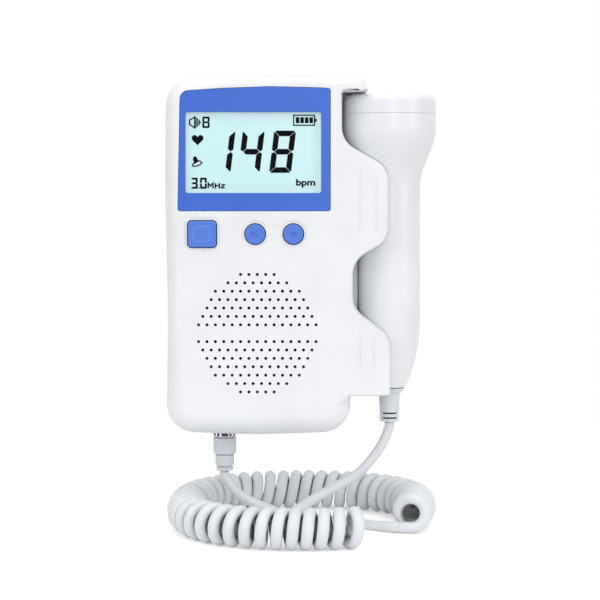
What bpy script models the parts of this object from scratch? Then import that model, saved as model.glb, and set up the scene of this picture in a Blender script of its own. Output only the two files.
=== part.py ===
"""Fetal doppler monitor: a hand unit with its probe held in the side cradle and a curly cord.

Metres, +Z up. The front of the unit faces -Y and the probe's cradle is on its +X side.
The origin is on the flat rear face of the case, on the body's centre line.
"""
import math

import bmesh
import bpy
from mathutils import Matrix, Vector

# Clearances between pieces, and how far a cutter runs past what it cuts
CLEARANCE = 0.0003
SLIDE_CLEARANCE = 0.0004
OVERRUN = 0.004

# Case
CASE_HEIGHT = 0.134
BODY_WIDTH = 0.069
CASE_DEPTH = 0.036
MOUNT_ABOVE_BOTTOM = 0.0943
SIDE_WALL = 0.0025
FRONT_WALL = 0.0028
REAR_WALL = 0.003
EDGE_DEPTH = 0.006
TOP_EDGE = 0.0036
SIDE_EDGE = 0.0046
BOTTOM_EDGE = 0.0072
CRADLE_EDGE = 0.0009
TOP_CORNER = 0.0105
LOWER_CORNER = 0.0105
TOP_BOW = 0.0019
BOTTOM_BOW = 0.0016
WAIST = 0.0012
BOW_RADIUS = 0.3

# Probe, top to bottom along its axis; its head is nearly as wide as the case is deep
PROBE_LENGTH_SHARE = 0.8254
HEAD_INSET = 0.0004
GRIP_SHARE = 0.6591
TAIL_SHARE = 0.358
CAP_HEIGHT = 0.0074
CAP_CORNER = 0.0026
CROWN = 0.0003
FLARE_START_SHARE = 0.1139
FLARE_END_SHARE = 0.3165
TAPER_START_SHARE = 0.7694
PROBE_WALL = 0.002
CRYSTAL_SHARE = 0.71
CRYSTAL_THICKNESS = 0.001
CRYSTAL_SPLIT = 0.001
BACKING_THICKNESS = 0.003
CARRIER_THICKNESS = 0.002
PROBE_BOARD_SHARE = 0.416
PROBE_BOARD_THICKNESS = 0.0012

# Cradle: hook over the head, wings on both sides of the grip, finger recess.
# The shares are of the probe's length, down from its top.
HOOK_HEIGHT = 0.0063
HOOK_REACH = 0.0063
HOOK_GAP = 0.0004
HOOK_TIP_RADIUS = 0.0007
HOOK_TIP_EDGE = 0.0009
HOOK_SLOPE = 0.002
CRADLE_CLEARANCE = 0.0005
BAY_DEPTH = 0.00305
HEAD_GAP = 0.00055
WING_SHORT_OF_AXIS = 0.0009
WING_FOOT_DROP = 0.0019
WING_FOOT_OUT = 0.0006
REAR_BAY_REACH = 0.0041
REAR_RECESS_REACH = 0.004
SHOULDER_OUTER_SHARE = 0.2515
SHOULDER_INNER_SHARE = 0.1625
RECESS_TOP_OUTER_SHARE = 0.4946
RECESS_TOP_INNER_SHARE = 0.5642
RECESS_BOTTOM_INNER_SHARE = 0.7251
RECESS_BOTTOM_OUTER_SHARE = 0.8183
FINGER_GAP = 0.0025
RECESS_RADIUS = 0.009
WING_CORNER = 0.0015

# Display
PANEL_WIDTH_SHARE = 0.8174
PANEL_HEIGHT_SHARE = 0.338
PANEL_BELOW_TOP = 0.0052
PANEL_SHIFT_SHARE = -0.0174
PANEL_BOW = 0.0017
PANEL_CORNER = 0.0009
PANEL_TOP_CORNER = 0.0032
BEZEL_THICKNESS = 0.0008
BEZEL_SINK = 0.0001
WINDOW_WIDTH_SHARE = 0.8883
WINDOW_HEIGHT_SHARE = 0.659
WINDOW_DROP_SHARE = 0.194
WINDOW_SHIFT_SHARE = -0.021
WINDOW_CORNER = 0.0006
LENS_MARGIN = 0.0012
LENS_THICKNESS = 0.0006
LCD_THICKNESS = 0.0012

# Buttons
BUTTON_ROW_SHARE = 0.5595
POWER_WIDTH = 0.01105
POWER_HEIGHT = 0.0103
POWER_CORNER = 0.0014
POWER_SHARE = -0.2957
ROUND_RADIUS = 0.004
VOLUME_SHARE = -0.0116
MODE_SHARE = 0.1928
BUTTON_PROUD = 0.0008
BUTTON_TRAVEL = 0.0006
BUTTON_EDGE = 0.0004
BUTTON_FLANGE = 0.0008
FLANGE_THICKNESS = 0.0008
STEM_RADIUS = 0.0014
DISH_MARGIN = 0.0011
DISH_DEPTH = 0.0005
DISH_BAND = 0.0063
SWITCH_SIZE = 0.006
SWITCH_HEIGHT = 0.0023
SWITCH_WELL = 0.0015
STEM_IN_WELL = 0.0004
SWITCH_CLEARANCE = 0.0004

# Speaker and its holes; its depth and its magnet's are shares of the room in front of the cells
SPEAKER_SHARE = 0.2865
SPEAKER_WIDTH_SHARE = 0.6667
SPEAKER_CONE_SHARE = 0.826
SPEAKER_DEPTH_SHARE = 0.48
SPEAKER_RIM_SHARE = 0.1667
MAGNET_WIDTH_SHARE = 0.4565
MAGNET_DEPTH_SHARE = 0.25
HOLE_RADIUS = 0.0006
HOLE_PITCH_SHARE = 0.0449
HOLE_ROWS = (5, 8, 11, 12, 13, 14, 15, 0, 15, 14, 13, 12, 11, 8, 5)
HOLE_SIDES = 6

# Main board and its screws
BOARD_THICKNESS = 0.0016
BOARD_WIDTH_SHARE = 0.768
BOARD_SHIFT_SHARE = -0.0217
BOARD_ABOVE_WINDOW = 0.0022
BOARD_BELOW_BUTTONS = 0.0111
POST_RADIUS = 0.002
POST_IN = 0.0024
BOARD_SCREW_RADIUS = 0.0007
BOARD_SCREW_HEAD = 0.0017
BOARD_SCREW_LENGTH = 0.004

# Case screws
CASE_SCREW_RADIUS = 0.0012
CASE_SCREW_HEAD = 0.0023
CASE_SCREW_HEAD_HEIGHT = 0.0016
CASE_SCREW_LENGTH_SHARE = 0.389
CASE_SCREW_SINK_SHARE = 0.278
BOSS_RADIUS = 0.0028
WELL_WALL = 0.0012
UPPER_SCREW_SHARE = 0.3188
UPPER_SCREW_BELOW_TOP = 0.0077
LOWER_SCREW_SHARE = 0.3551
LOWER_SCREW_ABOVE_BOTTOM = 0.0108

# Battery pocket, cells and contacts
CELL_RADIUS = 0.00725
CELL_LENGTH = 0.0492
CELL_NUB = 0.0013
CELL_NUB_RADIUS = 0.0027
CELL_GAP = 0.0007
CONTACT_THICKNESS = 0.0004
CONTACT_WIDTH = 0.010
SPRING_HEIGHT = 0.0026
SPRING_WIRE = 0.0006
SPRING_BASE_RADIUS = 0.0042
SPRING_TIP_RADIUS = 0.0022
SPRING_TURNS = 2.25
POCKET_ABOVE_SOCKET = 0.0054
TRAY_WALL = 0.0012
DOOR_THICKNESS = 0.0016
DOOR_MARGIN = 0.0023
DOOR_CORNER = 0.0022
DOOR_GROOVE_LENGTH = 0.014
DOOR_GROOVE_WIDTH = 0.0011
DOOR_GROOVE_DEPTH = 0.0006
DOOR_GROOVES = 4
DOOR_GROOVE_PITCH = 0.0024
THUMB_RADIUS = 0.0065
THUMB_DEPTH = 0.001

# Plug and its socket, under the body
PLUG_SHARE = -0.1848
PLUG_RADIUS = 0.0043
PLUG_SHELL_WALL = 0.0008
PLUG_INSERTION = 0.007
PLUG_SHELL_SHOWS = 0.0024
PLUG_BODY_RADIUS = 0.00435
PLUG_BODY_LENGTH = 0.0062
PLUG_NECK_RADIUS = 0.0036
PLUG_NECK_LENGTH = 0.0041
PLUG_RING_RADIUS = 0.0032
PLUG_RING_LENGTH = 0.0013
GROOVE_WIDTH = 0.0005
GROOVE_DEPTH = 0.0007
PLUG_TRAVEL = 0.006
SOCKET_WALL = 0.0014
SOCKET_HEIGHT = 0.0092

# Strain relief at the probe's foot
RELIEF_FLANGE_THICKNESS = 0.0013
RELIEF_NECK_RADIUS = 0.0032
RELIEF_COLLAR_SHARE = 0.95
RELIEF_COLLAR_FOOT = 0.0046
RELIEF_COLLAR_LENGTH = 0.0019
RELIEF_RADIUS = 0.0040
RELIEF_TIP_RADIUS = 0.0036
RELIEF_LENGTH = 0.0073
RELIEF_RING_LENGTH = 0.0013
RELIEF_RINGS = 2

# Curly cord: an oval loop of curls lying on the surface under the unit
LEAD_DIAMETER = 0.0036
CORD_DIAMETER = 0.0042
CURL_DIAMETER = 0.015
CURL_GAP = 0.0005
LOOP_HALF_WIDTH = 0.0440
LOOP_HALF_DEPTH = 0.0407
LOOP_POWER = 2.3
LOOP_CENTRE = (0.0171, -0.0194)
SURFACE = -0.1308
OPEN_END_ANGLE = -16.3
FRONT_END_ANGLE = 297.6
OPEN_END_DRAWN_IN = 0.0029
OPEN_END_SPREAD = 35.0
POINTS_PER_CURL = 8
CURL_SWAY = 0.4
LAST_CURL_OUT = 0.0011
CURL_END_SLOPE = 0.8
LEAD_IN = 1.0

HALF_WIDTH = BODY_WIDTH / 2
FRONT = -CASE_DEPTH
MIDDLE = -CASE_DEPTH / 2
BOTTOM = -MOUNT_ABOVE_BOTTOM
TOP = BOTTOM + CASE_HEIGHT
HEAD_RADIUS = CASE_DEPTH / 2 - HEAD_INSET
GRIP_RADIUS = GRIP_SHARE * HEAD_RADIUS
TAIL_RADIUS = TAIL_SHARE * HEAD_RADIUS
PROBE_LENGTH = PROBE_LENGTH_SHARE * CASE_HEIGHT
FLARE_START = FLARE_START_SHARE * PROBE_LENGTH
FLARE_END = FLARE_END_SHARE * PROBE_LENGTH
TAPER_START = TAPER_START_SHARE * PROBE_LENGTH
HOOK_UNDERSIDE = TOP - HOOK_HEIGHT
PROBE_TOP = HOOK_UNDERSIDE - HOOK_GAP
PROBE_FOOT = PROBE_TOP - PROBE_LENGTH
BAY_WALL = HALF_WIDTH - BAY_DEPTH
PROBE_AXIS_OUT = BAY_WALL + HEAD_GAP + HEAD_RADIUS
WING_EDGE = PROBE_AXIS_OUT - WING_SHORT_OF_AXIS
RECESS_WALL = PROBE_AXIS_OUT - GRIP_RADIUS - FINGER_GAP
WING_FOOT = PROBE_FOOT - WING_FOOT_DROP
SHOULDER_OUTER = PROBE_TOP - SHOULDER_OUTER_SHARE * PROBE_LENGTH
SHOULDER_INNER = PROBE_TOP - SHOULDER_INNER_SHARE * PROBE_LENGTH
RECESS_TOP_OUTER = PROBE_TOP - RECESS_TOP_OUTER_SHARE * PROBE_LENGTH
RECESS_TOP_INNER = PROBE_TOP - RECESS_TOP_INNER_SHARE * PROBE_LENGTH
RECESS_BOTTOM_INNER = PROBE_TOP - RECESS_BOTTOM_INNER_SHARE * PROBE_LENGTH
RECESS_BOTTOM_OUTER = PROBE_TOP - RECESS_BOTTOM_OUTER_SHARE * PROBE_LENGTH
FRONT_INNER = FRONT + FRONT_WALL
REAR_INNER = -REAR_WALL
PANEL_WIDTH = PANEL_WIDTH_SHARE * BODY_WIDTH
PANEL_HEIGHT = PANEL_HEIGHT_SHARE * CASE_HEIGHT
PANEL_SHIFT = PANEL_SHIFT_SHARE * BODY_WIDTH
PANEL_TOP = TOP - PANEL_BELOW_TOP
WINDOW_WIDTH = WINDOW_WIDTH_SHARE * PANEL_WIDTH
WINDOW_HEIGHT = WINDOW_HEIGHT_SHARE * PANEL_HEIGHT
WINDOW_SHIFT = WINDOW_SHIFT_SHARE * BODY_WIDTH
WINDOW_TOP = PANEL_TOP - WINDOW_DROP_SHARE * PANEL_HEIGHT
WINDOW_CENTRE = WINDOW_TOP - WINDOW_HEIGHT / 2
BUTTON_Z = BOTTOM + BUTTON_ROW_SHARE * CASE_HEIGHT
POWER_X = POWER_SHARE * BODY_WIDTH
VOLUME_X = VOLUME_SHARE * BODY_WIDTH
MODE_X = MODE_SHARE * BODY_WIDTH
SPEAKER_Z = BOTTOM + SPEAKER_SHARE * CASE_HEIGHT
SPEAKER_RADIUS = SPEAKER_WIDTH_SHARE * HALF_WIDTH
HOLE_PITCH = HOLE_PITCH_SHARE * BODY_WIDTH
BEZEL_FRONT = FRONT + BEZEL_SINK
BEZEL_REAR = BEZEL_FRONT + BEZEL_THICKNESS
LENS_FRONT = BEZEL_REAR + CLEARANCE
LENS_REAR = LENS_FRONT + LENS_THICKNESS
LCD_FRONT = LENS_REAR + CLEARANCE
LCD_REAR = LCD_FRONT + LCD_THICKNESS
FLANGE_FRONT = FRONT_INNER + CLEARANCE
FLANGE_REAR = FLANGE_FRONT + FLANGE_THICKNESS
SWITCH_FRONT = FLANGE_REAR + BUTTON_TRAVEL + SWITCH_CLEARANCE
SWITCH_REAR = SWITCH_FRONT + SWITCH_HEIGHT
BOARD_FRONT = SWITCH_REAR + CLEARANCE
BOARD_REAR = BOARD_FRONT + BOARD_THICKNESS
BOARD_WIDTH = BOARD_WIDTH_SHARE * BODY_WIDTH
BOARD_SHIFT = BOARD_SHIFT_SHARE * BODY_WIDTH
BOARD_TOP = WINDOW_TOP + BOARD_ABOVE_WINDOW
BOARD_FOOT = BUTTON_Z - BOARD_BELOW_BUTTONS
CASE_SCREW_LENGTH = CASE_SCREW_LENGTH_SHARE * CASE_DEPTH
CASE_SCREW_SINK = CASE_SCREW_SINK_SHARE * CASE_DEPTH
UPPER_SCREW_X = UPPER_SCREW_SHARE * BODY_WIDTH
LOWER_SCREW_X = LOWER_SCREW_SHARE * BODY_WIDTH
SOCKET_FOOT = BOTTOM + SIDE_WALL + BOTTOM_BOW
SOCKET_TOP = SOCKET_FOOT + SOCKET_HEIGHT
CELL_PITCH = 2 * CELL_RADIUS + CELL_GAP
CELL_Y = -(DOOR_THICKNESS + 2 * CLEARANCE + CELL_RADIUS)
POCKET_HALF_WIDTH = CELL_PITCH / 2 + CELL_RADIUS + SLIDE_CLEARANCE
POCKET_FLOOR = CELL_Y - CELL_RADIUS - CLEARANCE
POCKET_HEIGHT = CELL_LENGTH + CELL_NUB + SPRING_HEIGHT + 2 * CONTACT_THICKNESS + 5 * CLEARANCE
POCKET_FOOT = SOCKET_TOP + POCKET_ABOVE_SOCKET
POCKET_TOP = POCKET_FOOT + POCKET_HEIGHT
SPEAKER_ROOM = POCKET_FLOOR - TRAY_WALL - FRONT_INNER
DOOR_HALF_WIDTH = POCKET_HALF_WIDTH + DOOR_MARGIN
DOOR_FOOT = POCKET_FOOT - DOOR_MARGIN
DOOR_TOP = POCKET_TOP + DOOR_MARGIN
PLUG_X = PLUG_SHARE * BODY_WIDTH
PLUG_MOUTH = BOTTOM + CLEARANCE
PLUG_SHELL_FOOT = PLUG_MOUTH - PLUG_SHELL_SHOWS
PLUG_SHELL_TOP = PLUG_MOUTH + PLUG_INSERTION
HELIX_RADIUS = (CURL_DIAMETER - CORD_DIAMETER) / 2
CURL_AXIS = SURFACE + CURL_DIAMETER / 2

SEGMENT_TURN = math.radians(24)
ROUND_STEPS = 20
SMALL_ROUND_STEPS = 12
MERGE = 0.00001
HAIR = 0.000003
EDGE_ROOM = 1.05
STRAIGHT_SHARE = 0.94


def clear_scene():
    """Removes every object that the file starts with."""
    for thing in list(bpy.data.objects):
        bpy.data.objects.remove(thing)


def make_collection(name):
    """Adds a collection to the scene."""
    collection = bpy.data.collections.new(name)
    bpy.context.scene.collection.children.link(collection)
    return collection


def make_material(name, colour, roughness, metallic=0.0):
    """A Principled material of one colour."""
    material = bpy.data.materials.new(name)
    material.use_nodes = True
    shader = material.node_tree.nodes["Principled BSDF"]
    shader.inputs["Base Color"].default_value = (*colour, 1.0)
    shader.inputs["Roughness"].default_value = roughness
    shader.inputs["Metallic"].default_value = metallic
    material.diffuse_color = (*colour, 1.0)
    return material


clear_scene()
PARTS = make_collection("fetal_doppler_monitor")
CUTTERS = make_collection("cutters")

WHITE_PLASTIC = make_material("white_plastic", (0.86, 0.87, 0.89), 0.35)
BLUE_PLASTIC = make_material("blue_plastic", (0.07, 0.18, 0.70), 0.4)
CLEAR_PLASTIC = make_material("clear_plastic", (0.8, 0.92, 0.93), 0.1)
LCD_GLASS = make_material("lcd_glass", (0.62, 0.86, 0.88), 0.2)
DIFFUSER = make_material("diffuser", (0.85, 0.95, 0.95), 0.5)
BOARD_GREEN = make_material("circuit_board", (0.02, 0.2, 0.08), 0.5)
SWITCH_BLACK = make_material("switch_plastic", (0.02, 0.02, 0.025), 0.5)
SPEAKER_STEEL = make_material("speaker_steel", (0.5, 0.5, 0.52), 0.35, 1.0)
CONE_PAPER = make_material("cone_paper", (0.04, 0.04, 0.045), 0.8)
SCREW_STEEL = make_material("screw_steel", (0.6, 0.6, 0.62), 0.3, 1.0)
SPRING_STEEL = make_material("spring_steel", (0.7, 0.7, 0.72), 0.25, 1.0)
CELL_WRAP = make_material("cell_wrap", (0.1, 0.12, 0.16), 0.3)
CHROME = make_material("chrome", (0.8, 0.8, 0.82), 0.12, 1.0)
GREY_RUBBER = make_material("grey_rubber", (0.5, 0.54, 0.57), 0.5)
GREY_CORD = make_material("grey_cord", (0.62, 0.66, 0.69), 0.45)
CERAMIC = make_material("ceramic", (0.75, 0.72, 0.62), 0.4)


def bake(thing):
    """Replaces an object's mesh by its evaluated one, in place."""
    bpy.context.view_layer.update()
    graph = bpy.context.evaluated_depsgraph_get()
    mesh = bpy.data.meshes.new_from_object(thing.evaluated_get(graph))
    thing.modifiers.clear()
    thing.data = mesh
    return thing


def add_object(name, mesh, material=None):
    """Links a mesh as a part, or as a cutter where it has no material."""
    thing = bpy.data.objects.new(name, mesh)
    if material is None:
        CUTTERS.objects.link(thing)
        thing.hide_render = True
        thing.display_type = "WIRE"
    else:
        PARTS.objects.link(thing)
        mesh.materials.clear()
        mesh.materials.append(material)
    return thing


def finish_mesh(shape, name):
    """Turns a bmesh into a mesh whose faces point out."""
    bmesh.ops.recalc_face_normals(shape, faces=shape.faces[:])
    mesh = bpy.data.meshes.new(name)
    shape.to_mesh(mesh)
    shape.free()
    return mesh


def weld(thing):
    """Merges the points that a cut leaves within a hair of each other."""
    shape = bmesh.new()
    shape.from_mesh(thing.data)
    bmesh.ops.remove_doubles(shape, verts=shape.verts[:], dist=HAIR)
    bmesh.ops.dissolve_degenerate(shape, edges=shape.edges[:], dist=HAIR)
    shape.to_mesh(thing.data)
    shape.free()


def combine(target, operation, *tools):
    """Cuts or joins the target with each tool in turn, and removes the tools."""
    for tool in tools:
        modifier = target.modifiers.new(tool.name, "BOOLEAN")
        modifier.operation = operation
        modifier.solver = "EXACT"
        modifier.object = tool
        bake(target)
        weld(target)
        bpy.data.objects.remove(tool)
    return target


def shade_round(thing):
    """Shades a round piece smooth, with its real edges sharp."""
    thing.data.shade_smooth()
    thing.data.set_sharp_from_angle(angle=SEGMENT_TURN * 1.5)
    return thing


def block(name, low, high, material=None):
    """A box between two opposite corners."""
    shape = bmesh.new()
    size = [high[axis] - low[axis] for axis in range(3)]
    centre = [(high[axis] + low[axis]) / 2 for axis in range(3)]
    placing = Matrix.Translation(centre) @ Matrix.Diagonal((*size, 1.0))
    bmesh.ops.create_cube(shape, size=1.0, matrix=placing)
    return add_object(name, finish_mesh(shape, name), material)


def turned(name, profile, place, along="Z", material=None, steps=ROUND_STEPS):
    """Turns (radius, height) pairs about an axis; a pair runs down the outer side."""
    closed = profile[0][0] > 0
    mesh = bpy.data.meshes.new(name)
    edges = [(index, index + 1) for index in range(len(profile) - 1)]
    if closed:
        edges.append((len(profile) - 1, 0))
    mesh.from_pydata([(radius, 0.0, height) for radius, height in profile], edges, [])
    thing = add_object(name, mesh, material)
    screw = thing.modifiers.new("turn", "SCREW")
    screw.steps = steps
    screw.render_steps = steps
    screw.use_merge_vertices = True
    screw.merge_threshold = MERGE
    bake(thing)
    heading = {"X": Vector((1, 0, 0)), "Y": Vector((0, 1, 0)), "Z": Vector((0, 0, 1))}[along]
    turn = Vector((0, 0, 1)).rotation_difference(heading).to_matrix().to_4x4()
    shape = bmesh.new()
    shape.from_mesh(thing.data)
    bmesh.ops.transform(shape, matrix=turn, verts=shape.verts[:])
    bmesh.ops.recalc_face_normals(shape, faces=shape.faces[:])
    shape.to_mesh(thing.data)
    shape.free()
    thing.location = place
    if material is not None:
        shade_round(thing)
    return thing


def rod(name, radius, start, end, along="Z", material=None, steps=SMALL_ROUND_STEPS):
    """A plain cylinder from start to start moved to the given end coordinate."""
    axis = "XYZ".index(along)
    length = end - start[axis]
    profile = [(0.0, length), (radius, length), (radius, 0.0), (0.0, 0.0)]
    return turned(name, profile, start, along, material, steps)


def rounded_outline(corners, spread=SEGMENT_TURN):
    """Points of a closed outline whose corners (x, z, radius, edge) are arcs."""
    places = [Vector(corner[:2]) for corner in corners]
    count = len(corners)
    area = sum(a.cross(b) for a, b in zip(places, places[1:] + places[:1]))
    backs = [places[index - 1] - places[index] for index in range(count)]
    aheads = [places[(index + 1) % count] - places[index] for index in range(count)]
    turns = [math.pi - back.angle(ahead) for back, ahead in zip(backs, aheads)]
    radii = []
    for corner, back, ahead in zip(corners, backs, aheads):
        convex = ahead.cross(back) * area > 0
        least = corner[3] * EDGE_ROOM if convex and corner[2] > 0 else 0.0
        radii.append(max(corner[2], least))
    taken = [radius * math.tan(turn / 2) for radius, turn in zip(radii, turns)]
    points = []
    for index, (x, z, _, edge) in enumerate(corners):
        after = (index + 1) % count
        fit = 1.0
        for length, other in ((backs[index].length, index - 1), (aheads[index].length, after)):
            room = length * STRAIGHT_SHARE
            if taken[index] + taken[other] > room:
                fit = min(fit, room / (taken[index] + taken[other]))
        radius = radii[index] * fit
        if radius <= 0:
            points.append((x, z, edge))
            continue
        turn = turns[index]
        back = backs[index].normalized()
        ahead = aheads[index].normalized()
        centre = places[index] + (back + ahead).normalized() * radius / math.cos(turn / 2)
        start = places[index] + back * radius * math.tan(turn / 2) - centre
        side = 1.0 if back.cross(ahead) < 0 else -1.0
        steps = max(1, math.ceil(turn / spread - 0.01))
        for step in range(steps + 1):
            spoke = Matrix.Rotation(side * turn * step / steps, 2) @ start
            points.append((centre.x + spoke.x, centre.y + spoke.y, edge))
    return points


def inward_normals(points):
    """Unit normals that point into a closed outline, at each of its points."""
    area = sum(a[0] * b[1] - b[0] * a[1] for a, b in zip(points, points[1:] + points[:1]))
    side = 1.0 if area > 0 else -1.0
    normals = []
    for index, here in enumerate(points):
        before = points[index - 1]
        after = points[(index + 1) % len(points)]
        into = Vector((here[0] - before[0], here[1] - before[1])).normalized()
        out = Vector((after[0] - here[0], after[1] - here[1])).normalized()
        normal = (into + out).normalized().orthogonal() * side
        normals.append(normal / max(normal.dot(into.orthogonal() * side), 0.5))
    return normals


def slab(name, points, front, rear, depth=0.0, steps=0, material=None):
    """A plate from front to rear (Y) whose rims are rounded by each point's edge width."""
    normals = inward_normals(points)
    rings = []
    for step in range(steps, -1, -1):
        angle = step / steps * math.pi / 2 if steps else 0.0
        rings.append((1 - math.cos(angle), front + depth * (1 - math.sin(angle))))
    rings += [(share, rear + front - y) for share, y in reversed(rings)]
    shape = bmesh.new()
    loops = []
    for share, y in rings:
        loop = []
        for (x, z, edge), normal in zip(points, normals):
            loop.append(shape.verts.new((x + normal.x * edge * share, y, z + normal.y * edge * share)))
        loops.append(loop)
    count = len(points)
    for near, far in zip(loops, loops[1:]):
        for index in range(count):
            after = (index + 1) % count
            shape.faces.new((near[index], near[after], far[after], far[index]))
    shape.faces.new(loops[0])
    shape.faces.new(loops[-1])
    return add_object(name, finish_mesh(shape, name), material)


def rectangle(centre_x, centre_z, width, height, corner, edge=0.0):
    """Corners of a rounded rectangle for rounded_outline."""
    left = centre_x - width / 2
    right = centre_x + width / 2
    low = centre_z - height / 2
    high = centre_z + height / 2
    sides = ((left, low), (right, low), (right, high), (left, high))
    return [(x, z, corner, edge) for x, z in sides]


def case_corners(bay_reach=0.0, recess_reach=0.0):
    """Front view of the case: housing, cradle wings beside the probe, and the hook.

    The reaches are how far the cradle's back goes on behind the probe.
    """
    hook_tip = BAY_WALL + HOOK_REACH + HOOK_HEIGHT / 2 + HOOK_TIP_RADIUS
    edge = CRADLE_EDGE
    foot_edge = WING_EDGE + WING_FOOT_OUT
    recess = RECESS_WALL + recess_reach
    bay = BAY_WALL + bay_reach
    shoulder = SHOULDER_INNER - (SHOULDER_INNER - SHOULDER_OUTER) * bay_reach / (WING_EDGE - BAY_WALL)
    return [
        (-HALF_WIDTH + WAIST / 2, BOTTOM + BOTTOM_BOW, LOWER_CORNER, BOTTOM_EDGE),
        (0.0, BOTTOM, BOW_RADIUS, BOTTOM_EDGE),
        (HALF_WIDTH, BOTTOM + BOTTOM_BOW, LOWER_CORNER, BOTTOM_EDGE),
        (HALF_WIDTH, WING_FOOT, 0.0, edge),
        (foot_edge, WING_FOOT, WING_CORNER, edge),
        (foot_edge, RECESS_BOTTOM_OUTER, RECESS_RADIUS, edge),
        (recess, RECESS_BOTTOM_INNER, RECESS_RADIUS, edge),
        (recess, RECESS_TOP_INNER, RECESS_RADIUS, edge),
        (WING_EDGE, RECESS_TOP_OUTER, RECESS_RADIUS, edge),
        (WING_EDGE, SHOULDER_OUTER, RECESS_RADIUS, edge),
        (bay, shoulder, RECESS_RADIUS, edge),
        (bay, HOOK_UNDERSIDE, edge, edge),
        (hook_tip, HOOK_UNDERSIDE, HOOK_TIP_RADIUS, HOOK_TIP_EDGE),
        (hook_tip - HOOK_SLOPE, TOP - TOP_BOW / 3, HOOK_HEIGHT, TOP_EDGE),
        (0.0, TOP, BOW_RADIUS, TOP_EDGE),
        (-HALF_WIDTH + WAIST / 3, TOP - TOP_BOW, TOP_CORNER, SIDE_EDGE),
        (-HALF_WIDTH, BOTTOM + CASE_HEIGHT * 0.7, BOW_RADIUS, SIDE_EDGE),
        (-HALF_WIDTH + WAIST, BOTTOM + CASE_HEIGHT / 3, BOW_RADIUS, SIDE_EDGE),
    ]


def cavity_corners():
    """Front view of the hollow inside the case; its edges are the outer ones less the wall."""
    left = -HALF_WIDTH + WAIST + SIDE_WALL
    lower_right = RECESS_WALL - SIDE_WALL - SIDE_WALL / 2
    upper_right = BAY_WALL - SIDE_WALL
    low = BOTTOM + BOTTOM_BOW + SIDE_WALL
    high = TOP - TOP_BOW - SIDE_WALL
    step = SHOULDER_OUTER - RECESS_RADIUS
    corner = LOWER_CORNER - SIDE_WALL
    side_edge = SIDE_EDGE - SIDE_WALL
    low_edge = BOTTOM_EDGE - SIDE_WALL
    return [
        (left, low, corner, low_edge),
        (0.0, BOTTOM + SIDE_WALL, BOW_RADIUS, low_edge),
        (lower_right, low, corner, low_edge),
        (lower_right, step - SIDE_WALL, CRADLE_EDGE, CRADLE_EDGE),
        (upper_right, step, CRADLE_EDGE, CRADLE_EDGE),
        (upper_right, high, CRADLE_EDGE, TOP_EDGE - SIDE_WALL),
        (left, high, TOP_CORNER - SIDE_WALL, side_edge),
    ]


def probe_radius(down):
    """The probe's outer radius at a distance below its top."""
    if down <= FLARE_START:
        return HEAD_RADIUS
    if down < FLARE_END:
        share = (down - FLARE_START) / (FLARE_END - FLARE_START)
        return GRIP_RADIUS + (HEAD_RADIUS - GRIP_RADIUS) * (1 + math.cos(math.pi * share)) / 2
    if down <= TAPER_START:
        return GRIP_RADIUS
    share = (down - TAPER_START) / (PROBE_LENGTH - TAPER_START)
    return TAIL_RADIUS + (GRIP_RADIUS - TAIL_RADIUS) * (1 - share * share)


def probe_profile(top, foot, growth=0.0, flare_steps=7, taper_steps=5):
    """(radius, height) pairs of the probe's side from one depth down to another."""
    stops = [top]
    for start, end, steps in ((FLARE_START, FLARE_END, flare_steps), (TAPER_START, PROBE_LENGTH, taper_steps)):
        stops += [start + (end - start) * step / steps for step in range(steps + 1)]
    stops = [stop for stop in stops if top <= stop < foot] + [foot]
    return [(probe_radius(stop) + growth, PROBE_TOP - stop) for stop in sorted(set(stops))]


def probe_place(y=0.0):
    """A point on the probe's axis at height zero."""
    return (PROBE_AXIS_OUT, MIDDLE + y, 0.0)


def channel():
    """The space that the probe takes in the cradle, with its clearance."""
    side = probe_profile(0.0, PROBE_LENGTH, CRADLE_CLEARANCE, 5, 4)
    top = PROBE_TOP + CLEARANCE / 3
    foot = WING_FOOT - OVERRUN
    profile = [(0.0, top), (side[0][0], top)] + side[1:] + [(side[-1][0], foot), (0.0, foot)]
    return turned("channel", profile, probe_place(), steps=ROUND_STEPS + 4)


def half_space(name, y_from, y_to):
    """A block over the whole case between two depths."""
    reach = CASE_HEIGHT + OVERRUN
    return block(name, (-reach, y_from, -reach), (reach, y_to, reach))


def screw_places():
    """X and Z of the four case screws."""
    high = TOP - UPPER_SCREW_BELOW_TOP
    low = BOTTOM + LOWER_SCREW_ABOVE_BOTTOM
    return {
        "upper_left": (-UPPER_SCREW_X, high),
        "upper_right": (UPPER_SCREW_X, high),
        "lower_left": (-LOWER_SCREW_X, low),
        "lower_right": (LOWER_SCREW_X, low),
    }


def post_places():
    """X and Z of the two board screws."""
    left = BOARD_SHIFT - BOARD_WIDTH / 2 + POST_IN
    right = BOARD_SHIFT + BOARD_WIDTH / 2 - POST_IN
    z = BOARD_FOOT + POST_IN
    return {"left": (left, z), "right": (right, z)}


def speaker_hole_cutter():
    """All the speaker holes as one cutter, in rows that are centred on the speaker."""
    shape = bmesh.new()
    upright = Matrix.Rotation(math.pi / 2, 4, "X")
    y = FRONT + FRONT_WALL / 2
    for row, holes in enumerate(HOLE_ROWS):
        z = SPEAKER_Z + (len(HOLE_ROWS) // 2 - row) * HOLE_PITCH
        for hole in range(holes):
            x = (hole - (holes - 1) / 2) * HOLE_PITCH
            bmesh.ops.create_cone(
                shape,
                cap_ends=True,
                segments=HOLE_SIDES,
                radius1=HOLE_RADIUS,
                radius2=HOLE_RADIUS,
                depth=FRONT_WALL + 2 * OVERRUN,
                matrix=Matrix.Translation((x, y, z)) @ upright,
            )
    return add_object("speaker_holes", finish_mesh(shape, "speaker_holes"))


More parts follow.
